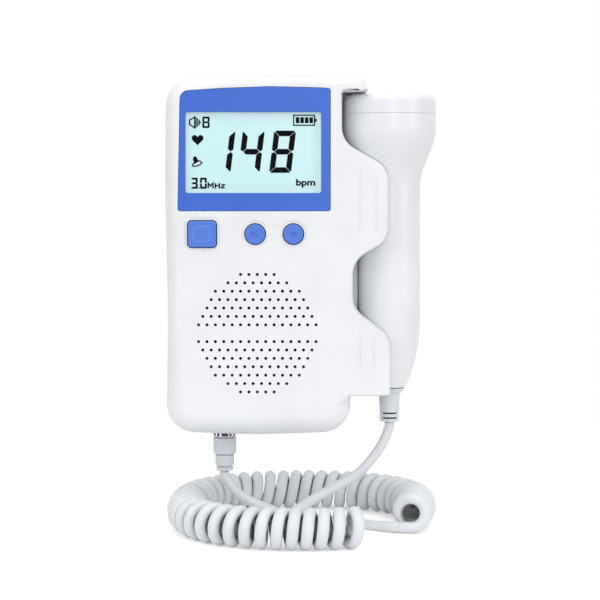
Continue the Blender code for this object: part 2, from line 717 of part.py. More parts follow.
def panel_outline(growth=0.0):
    """The display panel's outline, its top edge bowed."""
    left = PANEL_SHIFT - PANEL_WIDTH / 2 - growth
    right = PANEL_SHIFT + PANEL_WIDTH / 2 + growth
    low = PANEL_TOP - PANEL_HEIGHT - growth
    high = PANEL_TOP + growth
    corners = [
        (left, low, PANEL_CORNER, 0.0),
        (right, low, PANEL_CORNER, 0.0),
        (right, high, PANEL_CORNER, 0.0),
        (PANEL_SHIFT + PANEL_WIDTH / 10, high + PANEL_BOW * 0.7, BOW_RADIUS, 0.0),
        (left + PANEL_BOW / 2, high - PANEL_BOW * 0.6, PANEL_TOP_CORNER, 0.0),
    ]
    return rounded_outline(corners)


def window_outline(growth=0.0):
    """The display window's outline."""
    width = WINDOW_WIDTH + 2 * growth
    height = WINDOW_HEIGHT + 2 * growth
    return rounded_outline(rectangle(WINDOW_SHIFT, WINDOW_CENTRE, width, height, WINDOW_CORNER))


def power_outline(growth=0.0):
    """The square button's outline."""
    width = POWER_WIDTH + 2 * growth
    height = POWER_HEIGHT + 2 * growth
    return rounded_outline(rectangle(POWER_X, BUTTON_Z, width, height, POWER_CORNER + growth))


def door_outline(growth=0.0):
    """The battery door's outline."""
    width = 2 * (DOOR_HALF_WIDTH + growth)
    height = DOOR_TOP - DOOR_FOOT + 2 * growth
    centre = (DOOR_TOP + DOOR_FOOT) / 2
    return rounded_outline(rectangle(0.0, centre, width, height, DOOR_CORNER), math.radians(45))


def case_form(name, corners):
    """One outer form of the closed case, hollowed, with the cradle channel."""
    form = slab(name, rounded_outline(corners), FRONT, 0.0, EDGE_DEPTH, 3, WHITE_PLASTIC)
    depth = EDGE_DEPTH - FRONT_WALL
    hollow = slab("hollow", rounded_outline(cavity_corners()), FRONT_INNER, REAR_INNER, depth, 2)
    combine(form, "DIFFERENCE", hollow, channel())
    return form


def copy_object(thing, name):
    """A part with its own copy of another part's mesh."""
    twin = bpy.data.objects.new(name, thing.data.copy())
    PARTS.objects.link(twin)
    return twin


def plug_hole():
    """The hole for the plug through the case's bottom wall."""
    radius = PLUG_RADIUS + SLIDE_CLEARANCE
    start = (PLUG_X, MIDDLE, BOTTOM - OVERRUN)
    return rod("plug_hole", radius, start, BOTTOM + SIDE_WALL + OVERRUN, steps=ROUND_STEPS)


def dish_outline():
    """One outline round both round buttons: two circles joined by a band."""
    radius = ROUND_RADIUS + DISH_MARGIN
    open_half = math.asin(DISH_BAND / 2 / radius)
    sweep = 2 * (math.pi - open_half)
    points = []
    for x, first in ((VOLUME_X, open_half), (MODE_X, math.pi + open_half)):
        for step in range(ROUND_STEPS + 1):
            angle = first + sweep * step / ROUND_STEPS
            points.append((x + radius * math.cos(angle), BUTTON_Z + radius * math.sin(angle), 0.0))
    return points


def build_front_shell():
    """Front half of the case with its recesses, holes, bosses and posts."""
    shell = case_form("front_shell", case_corners())
    split = MIDDLE - CLEARANCE / 2
    root = FRONT_INNER - FRONT_WALL / 4
    for name, (x, z) in screw_places().items():
        combine(shell, "UNION", rod(f"boss_{name}", BOSS_RADIUS, (x, root, z), MIDDLE + OVERRUN / 4, "Y"))
    for name, (x, z) in post_places().items():
        combine(shell, "UNION", rod(f"post_{name}", POST_RADIUS, (x, root, z), BOARD_FRONT - CLEARANCE, "Y"))
    combine(shell, "DIFFERENCE", half_space("rear_side", split, OVERRUN))
    for name, (x, z) in screw_places().items():
        start = (x, split - CASE_SCREW_LENGTH, z)
        hole = rod(f"bore_{name}", CASE_SCREW_RADIUS + CLEARANCE, start, split + OVERRUN, "Y")
        combine(shell, "DIFFERENCE", hole)
    for name, (x, z) in post_places().items():
        start = (x, BOARD_FRONT - BOARD_SCREW_LENGTH, z)
        hole = rod(f"pilot_{name}", BOARD_SCREW_RADIUS + CLEARANCE, start, BOARD_FRONT + OVERRUN, "Y")
        combine(shell, "DIFFERENCE", hole)
    front = FRONT - OVERRUN
    through = FRONT_INNER + OVERRUN
    dish_floor = FRONT + DISH_DEPTH
    combine(
        shell,
        "DIFFERENCE",
        slab("panel_recess", panel_outline(CLEARANCE), front, LENS_FRONT),
        slab("lens_pocket", window_outline(LENS_MARGIN + CLEARANCE), front, through),
        slab("power_dish", power_outline(DISH_MARGIN), front, dish_floor),
        slab("power_hole", power_outline(CLEARANCE), front, through),
        slab("round_dish", dish_outline(), front, dish_floor),
        slab("volume_hole", round_outline(VOLUME_X, ROUND_RADIUS + CLEARANCE), front, through),
        slab("mode_hole", round_outline(MODE_X, ROUND_RADIUS + CLEARANCE), front, through),
        plug_hole(),
        speaker_hole_cutter(),
    )
    return shade_round(shell)


def build_rear_shell():
    """Rear half of the case, which reaches behind the probe, with the pocket and screw wells."""
    shell = case_form("rear_shell", case_corners(REAR_BAY_REACH, REAR_RECESS_REACH))
    split = MIDDLE + CLEARANCE / 2
    root = REAR_INNER + REAR_WALL / 4
    tray = block(
        "tray",
        (-POCKET_HALF_WIDTH - TRAY_WALL, POCKET_FLOOR - TRAY_WALL, POCKET_FOOT - TRAY_WALL),
        (POCKET_HALF_WIDTH + TRAY_WALL, root, POCKET_TOP + TRAY_WALL),
    )
    combine(shell, "UNION", tray)
    well_radius = CASE_SCREW_HEAD + CLEARANCE + WELL_WALL
    for name, (x, z) in screw_places().items():
        start = (x, MIDDLE - OVERRUN / 4, z)
        combine(shell, "UNION", rod(f"well_{name}", well_radius, start, root, "Y"))
    cut_to = POCKET_FLOOR - 2 * TRAY_WALL
    open_front = half_space("front_side", FRONT - OVERRUN, split)
    spare = block(
        "spare",
        (-POCKET_HALF_WIDTH - 2 * TRAY_WALL, cut_to, POCKET_FOOT - 2 * TRAY_WALL),
        (POCKET_HALF_WIDTH + 2 * TRAY_WALL, MIDDLE + OVERRUN, POCKET_TOP + 2 * TRAY_WALL),
    )
    combine(open_front, "DIFFERENCE", spare)
    combine(shell, "DIFFERENCE", open_front)
    for name, (x, z) in screw_places().items():
        seat = (x, -CASE_SCREW_SINK - CASE_SCREW_HEAD_HEIGHT - CLEARANCE, z)
        wide = rod(f"head_bore_{name}", CASE_SCREW_HEAD + CLEARANCE, seat, OVERRUN, "Y")
        start = (x, split - OVERRUN, z)
        narrow = rod(f"shank_bore_{name}", CASE_SCREW_RADIUS + CLEARANCE, start, -CASE_SCREW_SINK, "Y")
        combine(shell, "DIFFERENCE", wide, narrow)
    pocket = block(
        "pocket",
        (-POCKET_HALF_WIDTH, POCKET_FLOOR, POCKET_FOOT),
        (POCKET_HALF_WIDTH, OVERRUN, POCKET_TOP),
    )
    recess = slab("door_recess", door_outline(CLEARANCE), -DOOR_THICKNESS - CLEARANCE, OVERRUN)
    start = (0.0, -THUMB_DEPTH, DOOR_TOP)
    thumb = rod("thumb_notch", THUMB_RADIUS, start, OVERRUN, "Y", steps=ROUND_STEPS)
    combine(shell, "DIFFERENCE", pocket, recess, thumb, plug_hole())
    return shade_round(shell)


def build_battery_door():
    """Battery door with grip grooves; it tips out about its lower outer edge."""
    door = slab("battery_door", door_outline(), -DOOR_THICKNESS, 0.0, material=WHITE_PLASTIC)
    first = DOOR_TOP - THUMB_RADIUS - DOOR_GROOVE_PITCH
    for groove in range(DOOR_GROOVES):
        z = first - groove * DOOR_GROOVE_PITCH
        low = (-DOOR_GROOVE_LENGTH / 2, -DOOR_GROOVE_DEPTH, z - DOOR_GROOVE_WIDTH / 2)
        high = (DOOR_GROOVE_LENGTH / 2, OVERRUN, z + DOOR_GROOVE_WIDTH / 2)
        combine(door, "DIFFERENCE", block(f"groove_{groove}", low, high))
    hinge = Vector((0.0, 0.0, DOOR_FOOT))
    door.data.transform(Matrix.Translation(-hinge))
    door.location = hinge
    return door


def build_case_screws():
    """Four self-tapping screws that hold the shells together, put in from the rear."""
    for name, (x, z) in screw_places().items():
        head = CASE_SCREW_HEAD
        shank = CASE_SCREW_RADIUS
        tall = CASE_SCREW_HEAD_HEIGHT
        length = CASE_SCREW_LENGTH - CLEARANCE
        profile = [(0.0, tall), (head * 0.7, tall), (head, tall * 0.6), (head, 0.0)]
        profile += [(shank, 0.0), (shank, -length * 0.85), (0.0, -length)]
        place = (x, -CASE_SCREW_SINK - CASE_SCREW_HEAD_HEIGHT, z)
        turned(f"case_screw_{name}", profile, place, "Y", SCREW_STEEL, SMALL_ROUND_STEPS)


def build_display():
    """Bezel, lens, LCD glass and backlight plate, from the front back to the board."""
    bezel = slab("display_bezel", panel_outline(), BEZEL_FRONT, BEZEL_REAR, material=BLUE_PLASTIC)
    window = slab("window", window_outline(), BEZEL_FRONT - OVERRUN, BEZEL_REAR + OVERRUN)
    combine(bezel, "DIFFERENCE", window)
    slab("display_lens", window_outline(LENS_MARGIN), LENS_FRONT, LENS_REAR, material=CLEAR_PLASTIC)
    slab("lcd_glass", window_outline(LENS_MARGIN), LCD_FRONT, LCD_REAR, material=LCD_GLASS)
    slab(
        "backlight_plate",
        window_outline(LENS_MARGIN),
        LCD_REAR + CLEARANCE,
        BOARD_FRONT - CLEARANCE,
        material=DIFFUSER,
    )


def build_button(name, x, outline, flange_outline):
    """One cap: a rounded top, a flange behind the front wall and a stem into its switch."""
    cap = slab(name, outline, FRONT - BUTTON_PROUD, FLANGE_REAR, BUTTON_EDGE, 1, BLUE_PLASTIC)
    flange = slab(f"{name}_flange", flange_outline, FLANGE_FRONT, FLANGE_REAR)
    stem_end = SWITCH_FRONT + STEM_IN_WELL
    stem = rod(f"{name}_stem", STEM_RADIUS, (x, FLANGE_FRONT, BUTTON_Z), stem_end, "Y")
    combine(cap, "UNION", flange, stem)
    return cap


def round_outline(x, radius, edge=0.0, steps=ROUND_STEPS):
    """A circle of outline points on the button row."""
    spokes = [2 * math.pi * step / steps for step in range(steps)]
    return [(x + radius * math.cos(a), BUTTON_Z + radius * math.sin(a), edge) for a in spokes]


def build_controls():
    """The three buttons and the tact switch behind each."""
    square = [(px, pz, BUTTON_EDGE) for px, pz, edge in power_outline()]
    build_button("power_button", POWER_X, square, power_outline(BUTTON_FLANGE))
    for name, x in (("volume_button", VOLUME_X), ("mode_button", MODE_X)):
        circle = round_outline(x, ROUND_RADIUS, BUTTON_EDGE)
        build_button(name, x, circle, round_outline(x, ROUND_RADIUS + BUTTON_FLANGE))
    for name, x in (("power_switch", POWER_X), ("volume_switch", VOLUME_X), ("mode_switch", MODE_X)):
        half = SWITCH_SIZE / 2
        low = (x - half, SWITCH_FRONT, BUTTON_Z - half)
        high = (x + half, SWITCH_REAR, BUTTON_Z + half)
        switch = block(name, low, high, SWITCH_BLACK)
        start = (x, SWITCH_FRONT - OVERRUN, BUTTON_Z)
        well = rod(f"{name}_well", STEM_RADIUS + SLIDE_CLEARANCE, start, SWITCH_FRONT + SWITCH_WELL, "Y")
        combine(switch, "DIFFERENCE", well)


def build_main_board():
    """The main board behind the display and the switches, on its two screws."""
    left = BOARD_SHIFT - BOARD_WIDTH / 2
    right = BOARD_SHIFT + BOARD_WIDTH / 2
    board = block("main_board", (left, BOARD_FRONT, BOARD_FOOT), (right, BOARD_REAR, BOARD_TOP), BOARD_GREEN)
    for name, (x, z) in post_places().items():
        start = (x, BOARD_FRONT - OVERRUN, z)
        hole_radius = BOARD_SCREW_RADIUS + CLEARANCE
        combine(board, "DIFFERENCE", rod(f"hole_{name}", hole_radius, start, BOARD_REAR + OVERRUN, "Y"))
        head = BOARD_SCREW_HEAD
        shank = BOARD_SCREW_RADIUS
        seat = BOARD_REAR + CLEARANCE
        reach = seat - BOARD_FRONT + BOARD_SCREW_LENGTH - 2 * CLEARANCE
        profile = [(0.0, head / 2), (head, head / 2), (head, 0.0), (shank, 0.0), (shank, -reach), (0.0, -reach)]
        turned(f"board_screw_{name}", profile, (x, seat, z), "Y", SCREW_STEEL, SMALL_ROUND_STEPS)


def build_speaker():
    """Speaker frame, cone and magnet, face down on the holes."""
    place = (0.0, FRONT_INNER + CLEARANCE, SPEAKER_Z)
    outer = SPEAKER_RADIUS
    cone = SPEAKER_CONE_SHARE * outer
    deep = SPEAKER_DEPTH_SHARE * SPEAKER_ROOM
    rim = SPEAKER_RIM_SHARE * deep
    magnet = MAGNET_WIDTH_SHARE * outer
    throat = magnet / 2
    basket = [
        (throat, deep),
        (magnet, deep),
        (outer - rim, 2 * rim),
        (outer, 2 * rim),
        (outer, 0.0),
        (cone + rim, 0.0),
        (cone + rim, rim),
        (magnet - rim, deep - rim),
        (throat, deep - rim),
    ]
    turned("speaker_frame", basket, place, "Y", SPEAKER_STEEL)
    back = deep - 2 * rim - 2 * CLEARANCE
    sheet = [
        (0.0, back),
        (throat, back),
        (cone, rim),
        (cone, rim / 2),
        (throat, back - rim),
        (0.0, back - rim),
    ]
    turned("speaker_cone", sheet, place, "Y", CONE_PAPER)
    start = (0.0, place[1] + deep + CLEARANCE, SPEAKER_Z)
    end = start[1] + MAGNET_DEPTH_SHARE * SPEAKER_ROOM
    rod("speaker_magnet", magnet, start, end, "Y", SPEAKER_STEEL, ROUND_STEPS)


def conical_spring(name, place, upward):
    """A battery spring: a conical winding that stands on its contact."""
    points = []
    per_turn = 10
    count = round(SPRING_TURNS * per_turn)
    rise = SPRING_HEIGHT - SPRING_WIRE
    for index in range(count + 1):
        share = index / count
        angle = 2 * math.pi * SPRING_TURNS * share
        radius = SPRING_BASE_RADIUS + (SPRING_TIP_RADIUS - SPRING_BASE_RADIUS) * share
        height = (SPRING_WIRE / 2 + rise * share) * (1 if upward else -1)
        points.append((place[0] + radius * math.cos(angle), place[1] + radius * math.sin(angle), place[2] + height))
    return tube(name, points, SPRING_WIRE, SPRING_STEEL, 1)


def tube(name, points, diameter, material, roundness):
    """A round wire or cord along points."""
    curve = bpy.data.curves.new(name, "CURVE")
    curve.dimensions = "3D"
    curve.bevel_depth = diameter / 2
    curve.bevel_resolution = roundness
    curve.render_resolution_u = 0
    curve.use_fill_caps = True
    spline = curve.splines.new("POLY")
    spline.points.add(len(points) - 1)
    for point, place in zip(spline.points, points):
        point.co = (*place, 1.0)
    thing = bpy.data.objects.new(name, curve)
    PARTS.objects.link(thing)
    curve.materials.append(material)
    return thing


def build_batteries():
    """Two cells side by side, one up and one down, with their contacts and springs."""
    left = -CELL_PITCH / 2
    right = CELL_PITCH / 2
    low_plate = POCKET_FOOT + CLEARANCE
    high_plate = POCKET_TOP - CLEARANCE - CONTACT_THICKNESS
    half = CONTACT_WIDTH / 2
    block(
        "contact_bridge",
        (left - half, CELL_Y - half, low_plate),
        (right + half, CELL_Y + half, low_plate + CONTACT_THICKNESS),
        SPRING_STEEL,
    )
    for name, x in (("contact_plus", left), ("contact_minus", right)):
        low = (x - half, CELL_Y - half, high_plate)
        high = (x + half, CELL_Y + half, high_plate + CONTACT_THICKNESS)
        block(name, low, high, SPRING_STEEL)
    spring_foot = low_plate + CONTACT_THICKNESS + CLEARANCE
    conical_spring("battery_spring_lower", (left, CELL_Y, spring_foot), True)
    conical_spring("battery_spring_upper", (right, CELL_Y, high_plate - CLEARANCE), False)
    body = CELL_RADIUS
    nub = CELL_NUB_RADIUS
    length = CELL_LENGTH
    full = CELL_LENGTH + CELL_NUB
    upright = [(0.0, full), (nub, full), (nub, length), (body, length), (body, 0.0), (0.0, 0.0)]
    inverted = [(radius, full - height) for radius, height in reversed(upright)]
    turned("battery_left", upright, (left, CELL_Y, spring_foot + SPRING_HEIGHT + CLEARANCE), "Z", CELL_WRAP)
    turned("battery_right", inverted, (right, CELL_Y, spring_foot), "Z", CELL_WRAP)


def build_plug():
    """Socket in the case and the plug in it: chrome shell, insert and moulded grey body."""
    place = (PLUG_X, MIDDLE, 0.0)
    inner = PLUG_RADIUS + SLIDE_CLEARANCE
    outer = inner + SOCKET_WALL
    roof = SOCKET_TOP - SOCKET_WALL
    cup = [(0.0, SOCKET_TOP), (outer, SOCKET_TOP), (outer, SOCKET_FOOT), (inner, SOCKET_FOOT), (inner, roof), (0.0, roof)]
    turned("probe_socket", cup, place, "Z", SWITCH_BLACK)
    bore = PLUG_RADIUS - PLUG_SHELL_WALL
    sleeve = [
        (bore, PLUG_SHELL_TOP),
        (PLUG_RADIUS, PLUG_SHELL_TOP),
        (PLUG_RADIUS, PLUG_SHELL_FOOT),
        (bore, PLUG_SHELL_FOOT),
    ]
    turned("plug_shell", sleeve, place, "Z", CHROME)
    insert_top = PLUG_SHELL_TOP - PLUG_INSERTION / 3
    insert_start = (PLUG_X, MIDDLE, PLUG_SHELL_FOOT)
    rod("plug_insert", bore - CLEARANCE, insert_start, insert_top, "Z", SWITCH_BLACK, ROUND_STEPS)
    heights = [PLUG_SHELL_FOOT - CLEARANCE]
    profile = [(0.0, heights[0])]
    sections = (
        (PLUG_BODY_RADIUS, PLUG_BODY_LENGTH),
        (PLUG_NECK_RADIUS, PLUG_NECK_LENGTH),
        (PLUG_RING_RADIUS, PLUG_RING_LENGTH),
    )
    profile += stepped_profile(sections, heights[0])
    turned("plug_body", profile, place, "Z", GREY_RUBBER)


def stepped_profile(sections, top):
    """Rings of falling height with a groove between each two, ending on the axis."""
    pairs = []
    z = top
    for index, (radius, length) in enumerate(sections):
        pairs += [(radius, z), (radius, z - length)]
        z -= length
        if index < len(sections) - 1:
            neck = min(radius, sections[index + 1][0]) - GROOVE_DEPTH
            pairs += [(neck, z), (neck, z - GROOVE_WIDTH)]
            z -= GROOVE_WIDTH
    pairs.append((0.0, z))
    return pairs


def plug_foot():
    """Height of the plug body's lower end, where its lead leaves."""
    lengths = PLUG_BODY_LENGTH + PLUG_NECK_LENGTH + PLUG_RING_LENGTH
    return PLUG_SHELL_FOOT - CLEARANCE - lengths - 2 * GROOVE_WIDTH


def relief_foot():
    """Height of the probe relief's lower end, where its lead leaves."""
    rings = RELIEF_RINGS * (RELIEF_RING_LENGTH + GROOVE_WIDTH)
    return PROBE_FOOT - CLEARANCE - RELIEF_COLLAR_LENGTH - RELIEF_LENGTH - rings


def build_probe():
    """Cap, crystals, backing, carrier, board, two handle halves and the strain relief."""
    place = probe_place()
    top = PROBE_TOP
    head = HEAD_RADIUS
    corner = CAP_CORNER
    seam = top - CAP_HEIGHT
    inner = head - PROBE_WALL
    roof = top - CROWN - PROBE_WALL
    cap = [(0.0, top), ((head - corner) / 2, top - CROWN / 4), (head - corner, top - CROWN)]
    for degrees in (30, 60, 90):
        angle = math.radians(degrees)
        cap.append((head - corner + corner * math.sin(angle), top - CROWN - corner * (1 - math.cos(angle))))
    cap += [(head, seam), (inner, seam), (inner, roof), (0.0, roof)]
    turned("probe_cap", cap, place, "Z", WHITE_PLASTIC, ROUND_STEPS + 8)
    crystal_top = roof - CLEARANCE
    crystal_foot = crystal_top - CRYSTAL_THICKNESS
    for name, side in (("crystal_left", -1), ("crystal_right", 1)):
        start = (place[0], place[1], crystal_foot)
        disc = rod(name, CRYSTAL_SHARE * HEAD_RADIUS, start, crystal_top, "Z", CERAMIC, ROUND_STEPS)
        near = place[0] + side * CRYSTAL_SPLIT / 2
        far = place[0] - side * (head + OVERRUN)
        low = (min(near, far), place[1] - head, crystal_foot - OVERRUN)
        high = (max(near, far), place[1] + head, crystal_top + OVERRUN)
        combine(disc, "DIFFERENCE", block(f"{name}_cut", low, high))
    backing_top = crystal_foot - CLEARANCE
    backing_foot = backing_top - BACKING_THICKNESS
    start = (place[0], place[1], backing_foot)
    rod("crystal_backing", inner - 2 * CLEARANCE, start, backing_top, "Z", SWITCH_BLACK, ROUND_STEPS)
    carrier_top = seam - CLEARANCE * 2
    build_handle(place, carrier_top)
    start = (place[0], place[1], carrier_top - CARRIER_THICKNESS)
    carrier_radius = inner - 2 * CLEARANCE
    rod("crystal_carrier", carrier_radius, start, carrier_top, "Z", DIFFUSER, ROUND_STEPS)
    build_relief(place)


def build_handle(place, carrier_top):
    """The two handle halves, split on the plane that faces the cradle, and the board."""
    seam = CAP_HEIGHT + CLEARANCE
    outer = probe_profile(seam, PROBE_LENGTH)
    inner_foot = PROBE_LENGTH - PROBE_WALL
    inner = probe_profile(seam, inner_foot, -PROBE_WALL, 5, 4)
    hole = RELIEF_NECK_RADIUS + CLEARANCE
    foot = PROBE_TOP - PROBE_LENGTH
    profile = outer + [(hole, foot), (hole, foot + PROBE_WALL)] + list(reversed(inner))
    whole = turned("probe_front_half", profile, place, "Z", WHITE_PLASTIC, ROUND_STEPS + 4)
    rear = copy_object(whole, "probe_rear_half")
    rear.location = whole.location
    reach = HEAD_RADIUS + OVERRUN
    gap = CLEARANCE / 2
    low = PROBE_FOOT - OVERRUN
    high = PROBE_TOP
    x = place[0]
    y = place[1]
    rear_block = block("rear_cut", (x - reach, y - gap, low), (x + reach, y + reach, high))
    front_block = block("front_cut", (x - reach, y - reach, low), (x + reach, y + gap, high))
    combine(whole, "DIFFERENCE", rear_block)
    combine(rear, "DIFFERENCE", front_block)
    half_width = GRIP_RADIUS - PROBE_WALL - SLIDE_CLEARANCE
    board_top = PROBE_TOP - FLARE_END
    half_thick = PROBE_BOARD_THICKNESS / 2
    low = (x - half_width, y - half_thick, board_top - PROBE_BOARD_SHARE * PROBE_LENGTH)
    high = (x + half_width, y + half_thick, board_top)
    block("probe_board", low, high, BOARD_GREEN)


def build_relief(place):
    """The grey strain relief: a flange inside the handle, a collar and rings below it."""
    floor = PROBE_FOOT + PROBE_WALL + CLEARANCE
    flange_top = floor + RELIEF_FLANGE_THICKNESS
    collar_top = PROBE_FOOT - CLEARANCE
    collar_foot = collar_top - RELIEF_COLLAR_LENGTH
    neck = RELIEF_NECK_RADIUS
    flange = probe_radius(PROBE_TOP - floor) - PROBE_WALL - CLEARANCE
    profile = [
        (0.0, flange_top),
        (flange, flange_top),
        (flange, floor),
        (neck, floor),
        (neck, collar_top),
        (RELIEF_COLLAR_SHARE * TAIL_RADIUS, collar_top),
        (RELIEF_COLLAR_FOOT, collar_foot),
        (RELIEF_RADIUS, collar_foot),
        (RELIEF_TIP_RADIUS, collar_foot - RELIEF_LENGTH),
    ]
    z = collar_foot - RELIEF_LENGTH
    groove = RELIEF_TIP_RADIUS - GROOVE_DEPTH
    for ring in range(RELIEF_RINGS):
        profile += [(groove, z), (groove, z - GROOVE_WIDTH)]
        z -= GROOVE_WIDTH
        profile += [(RELIEF_TIP_RADIUS, z), (RELIEF_TIP_RADIUS, z - RELIEF_RING_LENGTH)]
        z -= RELIEF_RING_LENGTH
    profile.append((0.0, z))
    turned("probe_strain_relief", profile, place, "Z", GREY_RUBBER)


def loop_radius(angle):
    """Distance from the loop's centre to the curls' axis, drawn in at the open end."""
    across = abs(math.cos(angle)) / LOOP_HALF_WIDTH
    along = abs(math.sin(angle)) / LOOP_HALF_DEPTH
    radius = (across**LOOP_POWER + along**LOOP_POWER) ** (-1 / LOOP_POWER)
    share = (math.degrees(angle) - OPEN_END_ANGLE) / OPEN_END_SPREAD
    share = min(max(share, 0.0), 1.0)
    return radius - OPEN_END_DRAWN_IN * (1 - share * share * (3 - 2 * share))


def curl_path():
    """Centre line of the curly cord; its curls lie side by side along the loop's inner side."""
    start = math.radians(OPEN_END_ANGLE)
    end = math.radians(FRONT_END_ANGLE)
    count = 1440
    angles = [start + (end - start) * index / count for index in range(count + 1)]
    axis = []
    for angle in angles:
        radius = loop_radius(angle)
        x = LOOP_CENTRE[0] + radius * math.cos(angle)
        y = LOOP_CENTRE[1] + radius * math.sin(angle)
        axis.append(Vector((x, y, CURL_AXIS)))
    outs = []
    for index in range(count + 1):
        ahead = axis[min(index + 1, count)] - axis[max(index - 1, 0)]
        outs.append(Vector((ahead.y, -ahead.x, 0.0)).normalized())
    inner = [place - out * HELIX_RADIUS for place, out in zip(axis, outs)]
    lengths = [0.0]
    for before, after in zip(inner, inner[1:]):
        lengths.append(lengths[-1] + (after - before).length)
    curls = math.floor(lengths[-1] / (CORD_DIAMETER + CURL_GAP) - 0.75) + 0.75
    print("curly cord: curls", curls)
    points = []
    steps = round(curls * POINTS_PER_CURL)
    index = 0
    for step in range(steps + 1):
        turn = curls * step / steps
        phase = 2 * math.pi * turn - math.pi / 2
        advance = turn - CURL_SWAY * (math.sin(phase) + 1) / (2 * math.pi)
        wanted = lengths[-1] * max(advance, 0.0) / curls
        last = min(max(turn - curls + 1, 0.0), 1.0)
        while index < count - 1 and lengths[index + 1] < wanted:
            index += 1
        share = (wanted - lengths[index]) / (lengths[index + 1] - lengths[index])
        place = axis[index].lerp(axis[index + 1], share)
        out = outs[index].lerp(outs[index + 1], share)
        ahead = Vector((-out.y, out.x, 0.0)) * LAST_CURL_OUT * math.sin(math.pi * last) ** 2
        rise = Vector((0.0, 0.0, math.sin(phase)))
        points.append(place + ahead + (out * math.cos(phase) + rise) * HELIX_RADIUS)
    first_out = outs[0]
    last_out = outs[-1]
    points.insert(0, points[0] - first_out * CORD_DIAMETER)
    down = (Vector((0.0, 0.0, -1.0)) - last_out * CURL_END_SLOPE).normalized()
    points.append(points[-1] + down * CORD_DIAMETER / 2)
    return points


def least_gap(points, diameter):
    """Least distance between stretches of a wound tube that are not neighbours, less its diameter."""
    apart = POINTS_PER_CURL // 2
    least = float("inf")
    fine = []
    for before, after in zip(points, points[1:]):
        fine += [before.lerp(after, share / 4) for share in range(4)]
    apart *= 4
    reach = 2 * POINTS_PER_CURL * 4
    for index, here in enumerate(fine):
        for other in fine[index + apart:index + reach]:
            least = min(least, (other - here).length)
    return least - diameter


def smooth_route(route, spacing):
    """Points at even spacing along a smooth curve through a route's own points."""
    places = [Vector(place) for place in route]
    fine = []
    for index in range(len(places) - 1):
        before = places[max(index - 1, 0)]
        start = places[index]
        end = places[index + 1]
        after = places[min(index + 2, len(places) - 1)]
        for step in range(20):
            t = step / 20
            a = 2 * start
            b = (end - before) * t
            c = (2 * before - 5 * start + 4 * end - after) * t * t
            d = (3 * start - before - 3 * end + after) * t * t * t
            fine.append((a + b + c + d) / 2)
    fine.append(places[-1])
    lengths = [0.0]
    for before, after in zip(fine, fine[1:]):
        lengths.append(lengths[-1] + (after - before).length)
    steps = max(2, round(lengths[-1] / spacing))
    points = []
    index = 0
    for step in range(steps + 1):
        wanted = lengths[-1] * step / steps
        while index < len(fine) - 2 and lengths[index + 1] < wanted:
            index += 1
        share = (wanted - lengths[index]) / (lengths[index + 1] - lengths[index])
        points.append(fine[index].lerp(fine[index + 1], share))
    return points


# Routes of the two leads: offsets from the strain relief's foot while the lead hangs,
# then offsets from the loop's centre at the surface where it lies
PLUG_LEAD_FALL = (
    (0.00055, 0.0, -0.0028),
    (0.00215, 0.0, -0.0052),
    (0.00455, 0.0, -0.0081),
    (0.00785, 0.0001, -0.0105),
    (0.01155, 0.0004, -0.0125),
)
PLUG_LEAD_LIE = (
    (-0.0124, 0.0024, 0.0063),
    (-0.0069, 0.0032, 0.0040),
    (-0.0014, 0.0038, 0.00235),
    (0.0046, 0.0042, 0.0018),
    (0.0116, 0.0036, 0.0018),
    (0.0181, 0.0010, 0.0018),
    (0.0236, -0.0038, 0.0018),
)
PROBE_LEAD_FALL = (
    (-0.0008, -0.0001, -0.0041),
    (-0.0028, -0.0003, -0.0086),
    (-0.0064, -0.0007, -0.0136),
    (-0.0106, -0.0011, -0.0182),
    (-0.0146, -0.0015, -0.0212),
    (-0.0196, -0.0020, -0.0239),
    (-0.0240, -0.0026, -0.0262),
    (-0.0284, -0.0033, -0.0283),
)
PROBE_LEAD_LIE = (
    (0.0005, -0.0028, 0.0088),
    (-0.0044, -0.0042, 0.0060),
    (-0.0092, -0.0068, 0.0031),
    (-0.0116, -0.0116, 0.0018),
    (-0.0096, -0.0166, 0.0018),
    (-0.0046, -0.0196, 0.0018),
    (0.0014, -0.0214, 0.0018),
    (0.0080, -0.0222, 0.0018),
    (0.0132, -0.0245, 0.0019),
)


def build_cord():
    """Curly cord and its two leads, each one unbroken tube."""
    curls = curl_path()
    tube("curly_cord", curls, CORD_DIAMETER, GREY_CORD, 1)
    print("curly cord: least gap to itself", round(least_gap(curls, CORD_DIAMETER) * 1000, 3), "mm")
    length = sum((after - before).length for before, after in zip(curls, curls[1:]))
    print("curly cord: length", round(length, 4), "m")
    plug_top = Vector((PLUG_X, MIDDLE, plug_foot() - CLEARANCE))
    build_lead("plug_lead", plug_top, PLUG_LEAD_FALL, PLUG_LEAD_LIE, curls[0], curls[1])
    probe_top = Vector((PROBE_AXIS_OUT, MIDDLE, relief_foot() - CLEARANCE))
    build_lead("probe_lead", probe_top, PROBE_LEAD_FALL, PROBE_LEAD_LIE, curls[-1], curls[-2])


def build_lead(name, top, fall, lie, end, before_end):
    """A lead from a strain relief's foot to one end of the curls, straight where it meets each."""
    ground = Vector((*LOOP_CENTRE, SURFACE))
    route = [top + Vector(step) for step in fall] + [ground + Vector(step) for step in lie]
    heading = (end - before_end).normalized()
    meet = end + heading * CLEARANCE
    drop = Vector((0.0, 0.0, -LEAD_DIAMETER / 2))
    middle = smooth_route([top + drop, *route, meet + heading * LEAD_DIAMETER * LEAD_IN], 2 * LEAD_DIAMETER)
    tube(name, [top, *middle, meet], LEAD_DIAMETER, GREY_CORD, 2)


def main():
    """Builds every piece of the monitor."""
    build_front_shell()
    build_rear_shell()
    build_battery_door()
    build_case_screws()
    build_display()
    build_controls()
    build_main_board()
    build_speaker()
    build_batteries()
    build_plug()
    build_probe()
    build_cord()


main()
